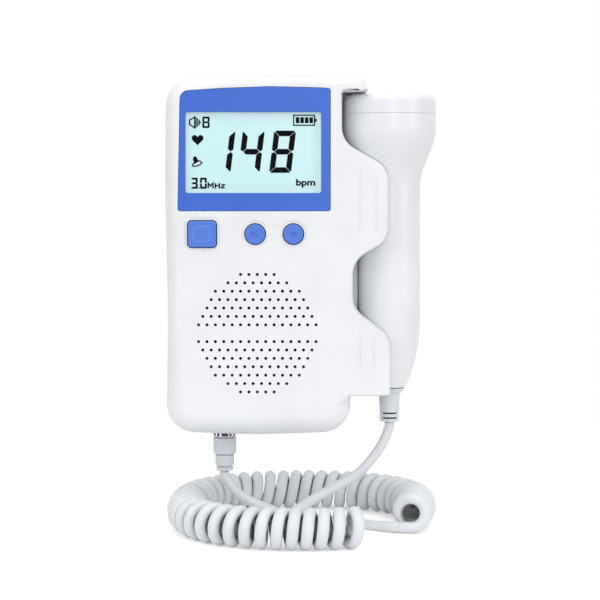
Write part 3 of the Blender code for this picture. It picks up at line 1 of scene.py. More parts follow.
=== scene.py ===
"""Fetal doppler monitor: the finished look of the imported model.

Metres, +Z up; the front of the unit faces -Y and the probe's cradle is on its +X side.
"""
import math

import bmesh
import bpy
from mathutils import Matrix, Vector


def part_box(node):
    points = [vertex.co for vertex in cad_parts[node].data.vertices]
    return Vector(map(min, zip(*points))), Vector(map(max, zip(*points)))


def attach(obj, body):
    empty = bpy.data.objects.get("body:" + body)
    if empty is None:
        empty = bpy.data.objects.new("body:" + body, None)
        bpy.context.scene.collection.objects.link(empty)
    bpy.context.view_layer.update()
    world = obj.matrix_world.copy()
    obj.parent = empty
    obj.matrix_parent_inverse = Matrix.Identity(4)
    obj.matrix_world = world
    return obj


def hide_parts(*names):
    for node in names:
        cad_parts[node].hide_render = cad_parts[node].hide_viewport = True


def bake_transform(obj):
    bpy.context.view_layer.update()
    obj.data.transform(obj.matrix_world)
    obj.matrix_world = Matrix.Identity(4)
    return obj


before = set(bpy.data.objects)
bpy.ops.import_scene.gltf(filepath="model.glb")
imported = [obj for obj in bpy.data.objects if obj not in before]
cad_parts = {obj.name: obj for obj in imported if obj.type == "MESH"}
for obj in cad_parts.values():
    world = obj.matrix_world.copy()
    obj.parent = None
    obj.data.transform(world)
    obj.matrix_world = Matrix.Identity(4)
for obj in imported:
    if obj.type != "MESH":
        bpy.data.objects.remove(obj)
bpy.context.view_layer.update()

# Case, as the CAD has it
FRONT = -0.036
MIDDLE = -0.018
TOP = 0.0397
BOTTOM = -0.0943
HALF_WIDTH = 0.0345
HEIGHT = TOP - BOTTOM
GAP = 0.0003
SLIDE = 0.0004
PAST = 0.004
HAIR = 0.000003
FRONT_WALL = 0.0028
FRONT_INNER = FRONT + FRONT_WALL
WALL = 0.0025
SEAM = 0.0002
REAR_INNER = -0.003
REAR_ROOT = REAR_INNER + 0.00075
EDGE_DEPTH = 0.006
LOW_EDGE = 0.0072
SIDE_EDGE = 0.0046
TOP_EDGE = 0.0036
SIDE_CORNER = 0.0105
LOW_RISE = 0.0016
TOP_DROP = 0.0019
LEFT_DRAWN_IN = 0.0012
BOW_RADIUS = 0.3
LIP = 0.00035
SCREW_SEAT = 0.278 * FRONT
SCREW_BORE = 0.0026
SCREW_BORE_FOOT = SCREW_SEAT - 0.0016 - GAP

# Probe
PROBE_TOP = 0.0330
PROBE_LENGTH = 0.8254 * HEIGHT
HEAD_RADIUS = 0.0176
GRIP_RADIUS = 0.6591 * HEAD_RADIUS
TAIL_RADIUS = 0.358 * HEAD_RADIUS
FLARE_START = 0.1139 * PROBE_LENGTH
FLARE_END = 0.3165 * PROBE_LENGTH
TAPER_START = 0.7694 * PROBE_LENGTH
PROBE_WALL = 0.002
CAP_HEIGHT = 0.0074
HEAD_LINE = 0.00005
PROBE_FOOT = PROBE_TOP - PROBE_LENGTH
CRADLE_EDGE = 0.0009
BAY_WALL = HALF_WIDTH - 0.00305
AXIS_OUT = BAY_WALL + 0.00055 + HEAD_RADIUS
WING_EDGE = AXIS_OUT - 0.0009
RECESS_WALL = AXIS_OUT - GRIP_RADIUS - 0.0025
WING_FOOT = PROBE_FOOT - 0.0019
WING_CORNER = 0.009
SHOULDER = PROBE_TOP - 0.2515 * PROBE_LENGTH
REAR_BAY_REACH = 0.0041
REAR_RECESS_REACH = 0.004
HOOK = 0.0063
HOOK_TIP = 0.0007
HOOK_UNDERSIDE = TOP - HOOK
GROOVE_DEPTH = 0.00014
WING_GROOVES = (
    ("upper_inner", 0.0377, 0.0385, -0.0193, 0.0034),
    ("upper_outer", 0.0434, 0.0441, -0.0185, 0.0010),
    ("lower_inner", 0.0373, 0.0382, -0.0694, -0.0567),
    ("lower_outer", 0.0425, 0.0433, -0.0694, -0.0578),
)

# Display
PANEL_WIDTH = 0.8174 * 2 * HALF_WIDTH
PANEL_HEIGHT = 0.338 * HEIGHT
PANEL_SHIFT = -0.0174 * 2 * HALF_WIDTH
PANEL_TOP = TOP - 0.0052
WINDOW_WIDTH = 0.8883 * PANEL_WIDTH
WINDOW_HEIGHT = 0.659 * PANEL_HEIGHT
WINDOW_SHIFT = -0.021 * 2 * HALF_WIDTH
WINDOW_TOP = PANEL_TOP - 0.194 * PANEL_HEIGHT
WINDOW_FOOT = WINDOW_TOP - WINDOW_HEIGHT
WINDOW_MIDDLE = (WINDOW_TOP + WINDOW_FOOT) / 2
GLASS_MARGIN = 0.0012
BEZEL_FRONT = FRONT + 0.0001
BEZEL_REAR = BEZEL_FRONT + 0.0008
LENS_FRONT = BEZEL_REAR + GAP
LENS_REAR = LENS_FRONT + 0.0006
LCD_FRONT = LENS_REAR + GAP
LCD_REAR = LCD_FRONT + 0.0012
LEAN = math.tan(math.radians(7))

# Buttons
BUTTON_Z = BOTTOM + 0.5595 * HEIGHT
POWER_X = -0.2957 * 2 * HALF_WIDTH
VOLUME_X = -0.0116 * 2 * HALF_WIDTH
MODE_X = 0.1928 * 2 * HALF_WIDTH
POWER_SIZE = (0.0105, 0.00975)
ROUND_RADIUS = 0.00372
KEY_GAP = 0.00032
DISH_MARGIN = 0.00125
DISH_DEPTH = 0.00015
BUTTON_PROUD = 0.0008
FLANGE_FRONT = FRONT_INNER + GAP
FLANGE_REAR = FLANGE_FRONT + 0.0008

# Speaker holes
SPEAKER_Z = BOTTOM + 0.2865 * HEIGHT
HOLE_PITCH = 0.0449 * 2 * HALF_WIDTH
HOLE_RADIUS = 0.0006
HOLE_ROWS = (5, 8, 11, 12, 13, 14, 15, 0, 15, 14, 13, 12, 11, 8, 5)

# Battery pocket and door
SOCKET_TOP = BOTTOM + 0.0025 + 0.0016 + 0.0092
POCKET_FOOT = SOCKET_TOP + 0.0054
CELL_LENGTH = 0.0492
CELL_NUB = 0.0013
SPRING = 0.0026
CONTACT = 0.0004
POCKET_TOP = POCKET_FOOT + CELL_LENGTH + CELL_NUB + SPRING + 2 * CONTACT + 5 * GAP
CELL_RADIUS = 0.00725
CELL_PITCH = 2 * CELL_RADIUS + 0.0007
DOOR_THICKNESS = 0.0016
THUMB_RADIUS = 0.0065
CELL_Y = -(DOOR_THICKNESS + 2 * GAP + CELL_RADIUS)
POCKET_HALF_WIDTH = CELL_PITCH / 2 + CELL_RADIUS + SLIDE
POCKET_FLOOR = CELL_Y - CELL_RADIUS - GAP
TRAY_WALL = 0.0012
DOOR_MARGIN = 0.0023
DOOR_HALF_WIDTH = POCKET_HALF_WIDTH + DOOR_MARGIN
DOOR_FOOT = POCKET_FOOT - DOOR_MARGIN
DOOR_TOP = POCKET_TOP + DOOR_MARGIN

# Plug, strain relief and cord
PLUG_X = -0.1848 * 2 * HALF_WIDTH
PLUG_RADIUS = 0.0043
PLUG_MOUTH = BOTTOM + GAP
PLUG_SHELL_FOOT = PLUG_MOUTH - 0.0024
PLUG_SHELL_TOP = PLUG_MOUTH + 0.007
PLUG_FOOT = PLUG_SHELL_FOOT - GAP - 0.0062 - 0.0041 - 0.0013 - 2 * 0.0005
RELIEF_TOP = PROBE_FOOT - GAP
COLLAR_FOOT = RELIEF_TOP - 0.0019
FLEX_TOP = COLLAR_FOOT - 0.0073
FLEX_PITCH = 0.0013 + 0.0005
RELIEF_FOOT = FLEX_TOP - 2 * FLEX_PITCH
CORD = 0.0042
CURL_CORD = 0.00435
LEAD_CORD = 0.0037
LEAD_SPACING = 2 * 0.0036
CURL = 0.015
CURL_PITCH = CORD + 0.0005
SURFACE = -0.1308
CURL_AXIS = SURFACE + CURL / 2
HELIX = (CURL - CURL_CORD) / 2
INNER_SIDE = (CURL - CORD) / 2
LOOP_CENTRE = (0.0171, -0.0194)
LOOP_HALF_WIDTH = 0.0440
LOOP_HALF_DEPTH = 0.0407
LOOP_POWER = 2.3
OPEN_END_ANGLE = -16.3
FRONT_END_ANGLE = 297.6
OPEN_END_DRAWN_IN = 0.0029
OPEN_END_SPREAD = 35.0
COARSE_STEPS = 8
FINE_STEPS = 28


# ---------------------------------------------------------------- nodes and finishes


class Value:
    """A shader socket that takes part in Python maths."""

    def __init__(self, nodes, socket):
        self.nodes = nodes
        self.socket = socket

    def maths(self, operation, *terms, clamp=False):
        node = self.nodes.node("ShaderNodeMath", dict(enumerate(terms)), operation=operation, use_clamp=clamp)
        return Value(self.nodes, node.outputs[0])

    def __add__(self, other):
        return self.maths("ADD", self, other)

    def __sub__(self, other):
        return self.maths("SUBTRACT", self, other)

    def __mul__(self, other):
        return self.maths("MULTIPLY", self, other)

    def __truediv__(self, other):
        return self.maths("DIVIDE", self, other)

    def __rsub__(self, other):
        return self.maths("SUBTRACT", other, self)

    __radd__ = __add__
    __rmul__ = __mul__

    def size(self):
        return self.maths("ABSOLUTE", self)

    def fraction(self):
        return self.maths("FRACT", self)

    def above(self, low, high):
        """0 below low, 1 above high, smooth between."""
        share = self.maths("DIVIDE", self - low, high - low, clamp=True)
        return share * share * (3 - 2 * share)


class Nodes:
    """A node tree, filled node by node."""

    def __init__(self, tree):
        self.tree = tree

    def node(self, kind, sockets=None, **settings):
        """Adds a node; an input takes a constant, another socket or a Value."""
        node = self.tree.nodes.new(kind)
        for key, value in settings.items():
            setattr(node, key, value)
        for key, value in (sockets or {}).items():
            if isinstance(value, Value):
                value = value.socket
            if isinstance(value, bpy.types.NodeSocket):
                self.tree.links.new(value, node.inputs[key])
            else:
                node.inputs[key].default_value = value
        return node

    def rays(self, *kinds):
        """1 for a ray of any of these kinds."""
        path = self.node("ShaderNodeLightPath")
        found = Value(self, path.outputs[kinds[0]])
        for kind in kinds[1:]:
            found = found.maths("MAXIMUM", found, path.outputs[kind])
        return found


class Finish(Nodes):
    """A material with its Principled shader and the nodes that feed it."""

    def __init__(self, name, **constants):
        self.material = bpy.data.materials.new(name)
        self.material.use_nodes = True
        super().__init__(self.material.node_tree)
        self.shader = self.tree.nodes["Principled BSDF"]
        for socket, value in constants.items():
            self.shader.inputs[socket.replace("_", " ")].default_value = value

    def place(self, scale=(1.0, 1.0, 1.0), middle=(0.0, 0.0, 0.0)):
        """Object coordinates, moved so that middle is at zero and then scaled."""
        spot = self.node("ShaderNodeTexCoord").outputs["Object"]
        moved = tuple(-m * s for m, s in zip(middle, scale))
        return self.node("ShaderNodeMapping", {"Vector": spot, "Location": moved, "Scale": scale}).outputs[0]

    def axes(self, vector):
        """The three numbers of a vector."""
        return [Value(self, out) for out in self.node("ShaderNodeSeparateXYZ", {"Vector": vector}).outputs]

    def noise(self, vector, scale, detail=3.0, roughness=0.55):
        sockets = {"Vector": vector, "Scale": scale, "Detail": detail, "Roughness": roughness}
        return Value(self, self.node("ShaderNodeTexNoise", sockets).outputs[0])

    def cells(self, vector, scale):
        """Distance to the nearest of scattered points."""
        return Value(self, self.node("ShaderNodeTexVoronoi", {"Vector": vector, "Scale": scale}).outputs[0])

    def tint(self, factor, first, second):
        """Two colours mixed by a factor."""
        pair = [(*colour, 1.0) if isinstance(colour, tuple) else colour for colour in (first, second)]
        return self.node("ShaderNodeMix", {0: factor, 6: pair[0], 7: pair[1]}, data_type="RGBA").outputs[2]

    def feed(self, socket, value):
        if isinstance(value, Value):
            value = value.socket
        self.tree.links.new(value, self.shader.inputs[socket])

    def complete(self, colour, roughness, height, depth):
        """Feeds colour, roughness and a bump of a real depth in metres from a height of 0 to 1."""
        self.feed("Base Color", colour)
        self.feed("Roughness", roughness)
        bump = self.node("ShaderNodeBump", {"Height": height, "Distance": depth, "Strength": 1.0})
        self.feed("Normal", bump.outputs[0])
        return self.material


def scaled(colour, share, more=0.0):
    """A colour made lighter or darker."""
    return tuple(min(1.0, part * share + more) for part in colour)


def moulded(name, colour, roughness, grain=0.00002, wear=0.05, **constants):
    """Moulded plastic: spark-eroded grain, slight flow marks, and rubbed edges a little lighter and smoother."""
    finish = Finish(name, **constants)
    spot = finish.place()
    cloud = finish.noise(spot, 55.0, 4.0)
    fine = finish.noise(spot, 2500.0, 3.0, 0.6)
    scuffs = finish.noise(finish.place((900.0, 260.0, 70.0)), 1.0, 3.0, 0.6).above(0.66, 0.74)
    edge = Value(finish, finish.node("ShaderNodeNewGeometry").outputs["Pointiness"]).above(0.53, 0.62)
    body = finish.tint(cloud.above(0.3, 0.7), scaled(colour, 1 - wear), colour)
    body = finish.tint(edge * 0.6 + scuffs * 0.25, body, scaled(colour, 1 + wear, 0.01 * wear))
    rough = roughness + cloud * 0.06 - 0.03 + fine * 0.05 - edge * 0.08 + scuffs * 0.05
    return finish.complete(body, rough, fine, grain)


def metal(name, colour, roughness, streaks=(40.0, 40.0, 4000.0)):
    """Plated metal with fine turning or drawing lines and handling marks."""
    finish = Finish(name, Metallic=1.0)
    lines = finish.noise(finish.place(streaks), 1.0, 2.0)
    marks = finish.noise(finish.place(), 300.0, 4.0)
    body = finish.tint(marks.above(0.45, 0.75), colour, scaled(colour, 0.86))
    return finish.complete(body, roughness + lines * 0.06 + marks * 0.06, lines, 0.000004)


def rubber(name, colour, roughness):
    """Satin rubber with a soft bloom and a fine skin; on a wound cord, dull with painted shade on the flanks and the
    side that faces a curl's bore, where the curls shade each other.
    """
    finish = Finish(name)
    spot = finish.place()
    bloom = finish.noise(spot, 120.0, 4.0)
    skin = finish.noise(spot, 3500.0, 2.0)
    dust = finish.noise(spot, 900.0, 4.0, 0.7).above(0.62, 0.8)
    body = finish.tint(bloom.above(0.3, 0.7), scaled(colour, 0.93), colour)
    body = finish.tint(dust * 0.3, body, scaled(colour, 1.12))
    # painted shade: darkens the flanks and bore side of each curl, a little less on the innermost side
    bore = Value(finish, finish.node("ShaderNodeAttribute", attribute_name="painted_bore_shade").outputs["Fac"])
    innermost_shade_ease = 1 - bore.above(0.76, 1.0) * 0.4
    body = finish.tint(bore.above(0.48, 0.78) * innermost_shade_ease, body, scaled(colour, 0.2))
    return finish.complete(body, roughness + bloom * 0.1 - 0.05 + dust * 0.08, skin, 0.000012)


def lit_glass(name):
    """The lit display: pale cyan, a little brighter along the window's rim, with a faint dot grid."""
    finish = Finish(name, Emission_Strength=0.315)
    rim_width = 0.0022
    spot = finish.place()
    x, _, z = finish.axes(spot)
    side = (WINDOW_WIDTH / 2 - (x - WINDOW_SHIFT).size()) / rim_width
    end = (WINDOW_HEIGHT / 2 - (z - WINDOW_MIDDLE).size()) / rim_width
    rim = 1 - side.maths("MINIMUM", side, end).above(0.0, 1.0)
    cloud = finish.noise(spot, 45.0, 3.0)
    patches = cloud.above(0.35, 0.65)
    lit = finish.tint(patches, (0.58, 0.845, 0.86), (0.60, 0.86, 0.875))
    finish.feed("Emission Color", finish.tint(rim * 0.6, lit, (0.84, 0.97, 0.975)))
    body = finish.tint(patches, (0.40, 0.585, 0.60), (0.42, 0.60, 0.612))
    body = finish.tint(rim * 0.5, body, (0.52, 0.66, 0.67))
    return finish.complete(body, 0.22 + cloud * 0.06, finish.cells(spot, 2600.0), 0.000006)


def clear_cover(name):
    """Clear lens: nearly invisible, with a soft gloss and faint wiping marks."""
    finish = Finish(name, IOR=1.49, Specular_IOR_Level=0.12)
    wipes = finish.noise(finish.place((260.0, 260.0, 60.0)), 1.0, 3.0)
    finish.feed("Alpha", 0.004 + wipes * 0.004)
    body = finish.tint(wipes, (0.30, 0.34, 0.35), (0.40, 0.44, 0.45))
    return finish.complete(body, 0.05 + wipes * 0.05, wipes, 0.000003)


def board_finish(name):
    """Green solder mask over copper traces."""
    finish = Finish(name)
    spot = finish.place()
    x, _, z = finish.axes(spot)
    lanes = (x * 900.0).fraction().above(0.35, 0.5)
    drops = (z * 700.0).fraction().above(0.6, 0.75)
    region = finish.noise(spot, 90.0, 0.0).above(0.48, 0.52)
    trace = lanes * region + drops * (1 - region)
    cloud = finish.noise(spot, 60.0, 4.0)
    body = finish.tint(cloud, (0.008, 0.11, 0.04), (0.012, 0.16, 0.06))
    body = finish.tint(trace * 0.6, body, (0.03, 0.26, 0.09))
    return finish.complete(body, 0.34 + cloud * 0.12, trace, 0.00003)


def paper_finish(name):
    """Pressed paper of the cone, with its fibres."""
    finish = Finish(name)
    fibres = finish.noise(finish.place((1.0, 0.3, 1.0)), 2200.0, 5.0, 0.7)
    body = finish.tint(fibres, (0.018, 0.018, 0.02), (0.06, 0.06, 0.065))
    return finish.complete(body, 0.82 + fibres * 0.12, fibres, 0.00005)


def cell_finish(name):
    """Plain sleeve on a cell: dark body, a pale band at its plus end, bare steel at both ends."""
    finish = Finish(name)
    spot = finish.place()
    x, _, z = finish.axes(spot)
    foot = POCKET_FOOT + 2 * GAP + CONTACT
    left = (x * -1.0).above(-0.0001, 0.0001)
    up_z = (z - (foot + SPRING + GAP)) / CELL_LENGTH
    down_z = 1 - (z - (foot + CELL_NUB)) / CELL_LENGTH
    share = up_z * left + down_z * (1 - left)
    sleeve = share.above(0.008, 0.012) * (1 - share.above(0.988, 0.992))
    cloud = finish.noise(spot, 200.0, 3.0)
    finish.feed("Metallic", 1 - sleeve)
    body = finish.tint(share.above(0.70, 0.705), (0.015, 0.03, 0.085), (0.62, 0.63, 0.65))
    body = finish.tint(sleeve, (0.55, 0.55, 0.57), body)
    return finish.complete(body, 0.24 + cloud * 0.12, sleeve + cloud * 0.1, 0.00006)


def ceramic_finish(name):
    """Silvered crystal faces."""
    finish = Finish(name)
    cloud = finish.noise(finish.place(), 500.0, 4.0)
    finish.feed("Metallic", cloud * 0.3 + 0.3)
    body = finish.tint(cloud, (0.55, 0.53, 0.47), (0.75, 0.73, 0.66))
    return finish.complete(body, 0.3 + cloud * 0.15, finish.cells(finish.place(), 5000.0), 0.00001)


WHITE = moulded("white_case", (0.80, 0.815, 0.84), 0.36)
PROBE_WHITE = moulded("white_probe", (0.80, 0.815, 0.84), 0.28, grain=0.000006)
BLUE = moulded("blue_bezel", (0.031, 0.126, 0.585), 0.34, grain=0.00001)
BUTTON_BLUE = moulded("blue_button", (0.076, 0.192, 0.68), 0.30, grain=0.00001, wear=0.12)
# painted shade: dark navy on the button caps' sides and flanges and on the walls of their holes, for the shadow in the
# gap round each cap
KEY_GAP_SHADE = moulded("dark_key_side", (0.006, 0.012, 0.05), 0.5)
# painted highlight: a lighter blue for the power cap's raised bead, for the light that its edge catches
BEAD_HIGHLIGHT = moulded("light_blue_edge", (0.12, 0.28, 0.84), 0.3, grain=0.00001)
BUTTON_MARK = moulded("blue_mark", (0.045, 0.125, 0.56), 0.34, grain=0.00001)
LCD = lit_glass("lit_display")
SEGMENT = moulded("display_ink", (0.0008, 0.001, 0.0015), 0.45, grain=0.000002, Specular_IOR_Level=0.02)
LENS = clear_cover("clear_lens")
CHROME = metal("chrome_sleeve", (0.80, 0.80, 0.82), 0.08)
STEEL = metal("zinc_steel", (0.52, 0.52, 0.54), 0.30)
NICKEL = metal("nickel_spring", (0.62, 0.61, 0.58), 0.24, (3000.0, 3000.0, 3000.0))
SCREW = metal("zinc_screw", (0.56, 0.56, 0.58), 0.26)
CORD_GREY = rubber("grey_cord_sheath", (0.715, 0.74, 0.762), 0.42)
RELIEF_GREY = rubber("grey_relief", (0.665, 0.71, 0.735), 0.46)
# painted shade in the strain relief's flex slots and painted reflection on the plug's chrome sleeve
PAINTED_DARK = rubber("dark_slot", (0.05, 0.055, 0.06), 0.6)
BLACK = moulded("black_plastic", (0.014, 0.014, 0.016), 0.45)
MILKY = moulded("milky_plastic", (0.72, 0.80, 0.80), 0.5)
GREEN = board_finish("solder_mask")
PAPER = paper_finish("cone_paper")
CELL = cell_finish("cell_sleeve")
CERAMIC = ceramic_finish("silvered_ceramic")


# ---------------------------------------------------------------- shapes


def link(name, data):
    """A new object in the scene."""
    thing = bpy.data.objects.new(name, data)
    bpy.context.scene.collection.objects.link(thing)
    return thing


def add(name, mesh, finish=None):
    """Links a mesh; a cutter has no finish."""
    mesh.materials.clear()
    if finish is not None:
        mesh.materials.append(finish)
    return link(name, mesh)


def close(shape, name):
    """A mesh from a closed bmesh, its faces turned out."""
    bmesh.ops.recalc_face_normals(shape, faces=shape.faces[:])
    mesh = bpy.data.meshes.new(name)
    shape.to_mesh(mesh)
    shape.free()
    return mesh


def meshed(thing):
    """A new mesh of what an object looks like with its modifiers."""
    bpy.context.view_layer.update()
    return bpy.data.meshes.new_from_object(thing.evaluated_get(bpy.context.evaluated_depsgraph_get()))


def bake(thing):
    """Applies an object's modifiers to its mesh."""
    mesh = meshed(thing)
    thing.modifiers.clear()
    thing.data = mesh
    return thing


def combine(target, operation, *tools):
    """Cuts or joins with each tool, merges the slivers it leaves, and removes the tool."""
    for tool in tools:
        modifier = target.modifiers.new(tool.name, "BOOLEAN")
        modifier.operation = operation
        modifier.solver = "EXACT"
        modifier.object = tool
        bake(target)
        shape = bmesh.new()
        shape.from_mesh(target.data)
        bmesh.ops.remove_doubles(shape, verts=shape.verts[:], dist=HAIR)
        bmesh.ops.dissolve_degenerate(shape, edges=shape.edges[:], dist=HAIR)
        shape.to_mesh(target.data)
        shape.free()
        bpy.data.objects.remove(tool)
    return target


def settle(thing, angle):
    """Smooth shading with true edges kept, and flat faces that stay flat."""
    thing.data.shade_smooth()
    thing.data.set_sharp_from_angle(angle=math.radians(angle))
    weighted = thing.modifiers.new("weighted", "WEIGHTED_NORMAL")
    weighted.keep_sharp = True
    weighted.weight = 80
    return bake(thing)


def hand_over(piece, body, node, angle=32.0):
    """A finished piece goes with its body and replaces its CAD node."""
    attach(settle(piece, angle), body)
    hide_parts(node)


def shade(piece, finish, belongs):
    """Gives a second finish to the faces whose middle belongs."""
    piece.data.materials.append(finish)
    for face in piece.data.polygons:
        if belongs(face.center):
            face.material_index = len(piece.data.materials) - 1


def off_axis(spot, x):
    """Distance of a point from the upright axis at x in the parting plane."""
    return math.hypot(spot.x - x, spot.y - MIDDLE)


def outline(corners, spread=math.radians(5)):
    """Closed outline of corners (x, z, radius, edge), each an arc."""
    places = [Vector(corner[:2]) for corner in corners]
    count = len(corners)
    area = sum(a.cross(b) for a, b in zip(places, places[1:] + places[:1]))
    backs = [places[index - 1] - places[index] for index in range(count)]
    aheads = [places[(index + 1) % count] - places[index] for index in range(count)]
    turns = [math.pi - back.angle(ahead) for back, ahead in zip(backs, aheads)]
    radii = []
    for corner, back, ahead in zip(corners, backs, aheads):
        convex = ahead.cross(back) * area > 0
        least = corner[3] * 1.05 if convex and corner[2] > 0 else 0.0
        radii.append(max(corner[2], least))
    taken = [radius * math.tan(turn / 2) for radius, turn in zip(radii, turns)]
    points = []
    for index, (x, z, _, edge) in enumerate(corners):
        after = (index + 1) % count
        fit = 1.0
        for length, other in ((backs[index].length, index - 1), (aheads[index].length, after)):
            room = length * 0.94
            if taken[index] + taken[other] > room:
                fit = min(fit, room / (taken[index] + taken[other]))
        radius = radii[index] * fit
        if radius <= 0:
            points.append((x, z, edge))
            continue
        turn = turns[index]
        back = backs[index].normalized()
        ahead = aheads[index].normalized()
        centre = places[index] + (back + ahead).normalized() * radius / math.cos(turn / 2)
        start = places[index] + back * radius * math.tan(turn / 2) - centre
        side = 1.0 if back.cross(ahead) < 0 else -1.0
        steps = max(1, math.ceil(turn / spread - 0.01))
        for step in range(steps + 1):
            spoke = Matrix.Rotation(side * turn * step / steps, 2) @ start
            points.append((centre.x + spoke.x, centre.y + spoke.y, edge))
    return points


def inward(points):
    """Unit normals into a closed outline at each of its points."""
    area = sum(a[0] * b[1] - b[0] * a[1] for a, b in zip(points, points[1:] + points[:1]))
    side = 1.0 if area > 0 else -1.0
    normals = []
    for index, here in enumerate(points):
        before = points[index - 1]
        after = points[(index + 1) % len(points)]
        into = Vector((here[0] - before[0], here[1] - before[1])).normalized()
        out = Vector((after[0] - here[0], after[1] - here[1])).normalized()
        normal = (into + out).normalized().orthogonal() * side
        normals.append(normal / max(normal.dot(into.orthogonal() * side), 0.5))
    return normals


def bridge(shape, loops, closed=False, ends=True):
    """Faces between neighbouring loops, where a loop of one vertex is a pole; ends shuts a run that isn't closed."""
    pairs = list(zip(loops, loops[1:]))
    if closed:
        pairs.append((loops[-1], loops[0]))
    for near, far in pairs:
        count = max(len(near), len(far))
        for index in range(count if count > 1 else 0):
            after = (index + 1) % count
            ring = ((near, index), (near, after), (far, after), (far, index))
            corners = [loop[place % len(loop)] for loop, place in ring]
            shape.faces.new(tuple(dict.fromkeys(corners)))
    if ends and not closed:
        shape.faces.new(loops[0])
        shape.faces.new(loops[-1])


def quarter(steps):
    """(inward, outward) falls of a rounded edge of radius 1 at even steps of a quarter turn."""
    angles = [step / max(steps, 1) * math.pi / 2 for step in range(steps + 1)]
    return [(1 - math.cos(angle), 1 - math.sin(angle)) for angle in angles]


def stack(name, points, rings, finish=None):
    """A closed form of one outline; each ring is (share of each point's edge, inset, y)."""
    normals = inward(points)
    shape = bmesh.new()
    loops = []
    for share, inset, y in rings:
        loop = []
        for (x, z, edge), normal in zip(points, normals):
            reach = edge * share + inset
            loop.append(shape.verts.new((x + normal.x * reach, y, z + normal.y * reach)))
        loops.append(loop)
    bridge(shape, loops)
    return add(name, close(shape, name), finish)


def slab(name, points, front, rear, depth=0.0, steps=0, finish=None):
    """A plate between two depths whose rims are rounded by each point's edge width."""
    rings = [(share, 0.0, front + depth * fall) for share, fall in reversed(quarter(steps))]
    rings += [(share, 0.0, rear + front - y) for share, _, y in reversed(rings)]
    return stack(name, points, rings, finish)


def sink(name, points, face, floor, lip=LIP, foot=0.0, steps=4):
    """A cutter that goes in from a face, with a rounded lip there and a rounded foot; face < floor cuts to +Y."""
    heading = 1.0 if floor > face else -1.0
    mouth = [(-lip * wide, lip * down) for down, wide in quarter(steps)]
    first, second = mouth[0], mouth[1]
    run = ((first[0] - second[0]) * 0.25, (second[1] - first[1]) * 0.25)
    mouth[0] = (first[0] + run[0], first[1] - run[1])
    rings = [(0.0, mouth[0][0], face - heading * PAST)]
    rings += [(0.0, inset, face + heading * down) for inset, down in mouth]
    if foot > 0:
        deep = abs(floor - face) - foot
        rings += [(0.0, foot * inset, face + heading * (deep + foot * (1 - fall))) for inset, fall in quarter(steps)]
    else:
        rings.append((0.0, 0.0, floor))
    return stack(name, points, rings)


def rectangle(x, z, width, height, corner):
    """Outline of a rounded rectangle."""
    sides = ((-1, -1), (1, -1), (1, 1), (-1, 1))
    return outline([(x + side * width / 2, z + up * height / 2, corner, 0.0) for side, up in sides])


def circle(x, z, radius, steps=48):
    spokes = [2 * math.pi * step / steps for step in range(steps)]
    return [(x + radius * math.cos(a), z + radius * math.sin(a), 0.0) for a in spokes]


def block(name, low, high, finish=None):
    shape = bmesh.new()
    size = [high[axis] - low[axis] for axis in range(3)]
    centre = [(high[axis] + low[axis]) / 2 for axis in range(3)]
    bmesh.ops.create_cube(shape, size=1.0, matrix=Matrix.Translation(centre) @ Matrix.Diagonal((*size, 1.0)))
    return add(name, close(shape, name), finish)


def turned(name, profile, place, along="Z", finish=None, steps=72):
    """Turns (radius, height) pairs about an axis and puts them in place, in the mesh."""
    shape = bmesh.new()
    turn = Vector((0, 0, 1)).rotation_difference(Vector({"Y": (0, 1, 0), "Z": (0, 0, 1)}[along]))
    placing = Matrix.Translation(place) @ turn.to_matrix().to_4x4()
    loops = []
    for radius, height in profile:
        loop = []
        for step in range(1 if radius < HAIR else steps):
            angle = 2 * math.pi * step / steps
            spot = Vector((radius * math.cos(angle), radius * math.sin(angle), height))
            loop.append(shape.verts.new(placing @ spot))
        loops.append(loop)
    bridge(shape, loops, closed=profile[0][0] > 0, ends=False)
    return add(name, close(shape, name), finish)


def eased(profile, radius=0.00045, steps=3):
    """Rounds every corner of an open profile of (radius, height) pairs that has room for it."""
    places = [Vector(pair) for pair in profile]
    out = [tuple(places[0])]
    for before, here, after in zip(places, places[1:], places[2:]):
        back = before - here
        ahead = after - here
        roomy = min(here.x, back.length, ahead.length) >= HAIR
        turn = math.pi - back.angle(ahead) if roomy else 0.0
        if turn < math.radians(20):
            out.append(tuple(here))
            continue
        reach = min(radius * math.tan(turn / 2), back.length * 0.45, ahead.length * 0.45)
        start = here + back.normalized() * reach
        end = here + ahead.normalized() * reach
        for step in range(steps + 1):
            share = step / steps
            out.append(tuple(start.lerp(here, share).lerp(here.lerp(end, share), share)))
    out.append(tuple(places[-1]))
    return out


def rod(name, radius, start, end, along="Z", steps=48):
    length = end - start["XYZ".index(along)]
    return turned(name, [(0.0, length), (radius, length), (radius, 0.0), (0.0, 0.0)], start, along, None, steps)


# ---------------------------------------------------------------- repeated shapes by geometry nodes


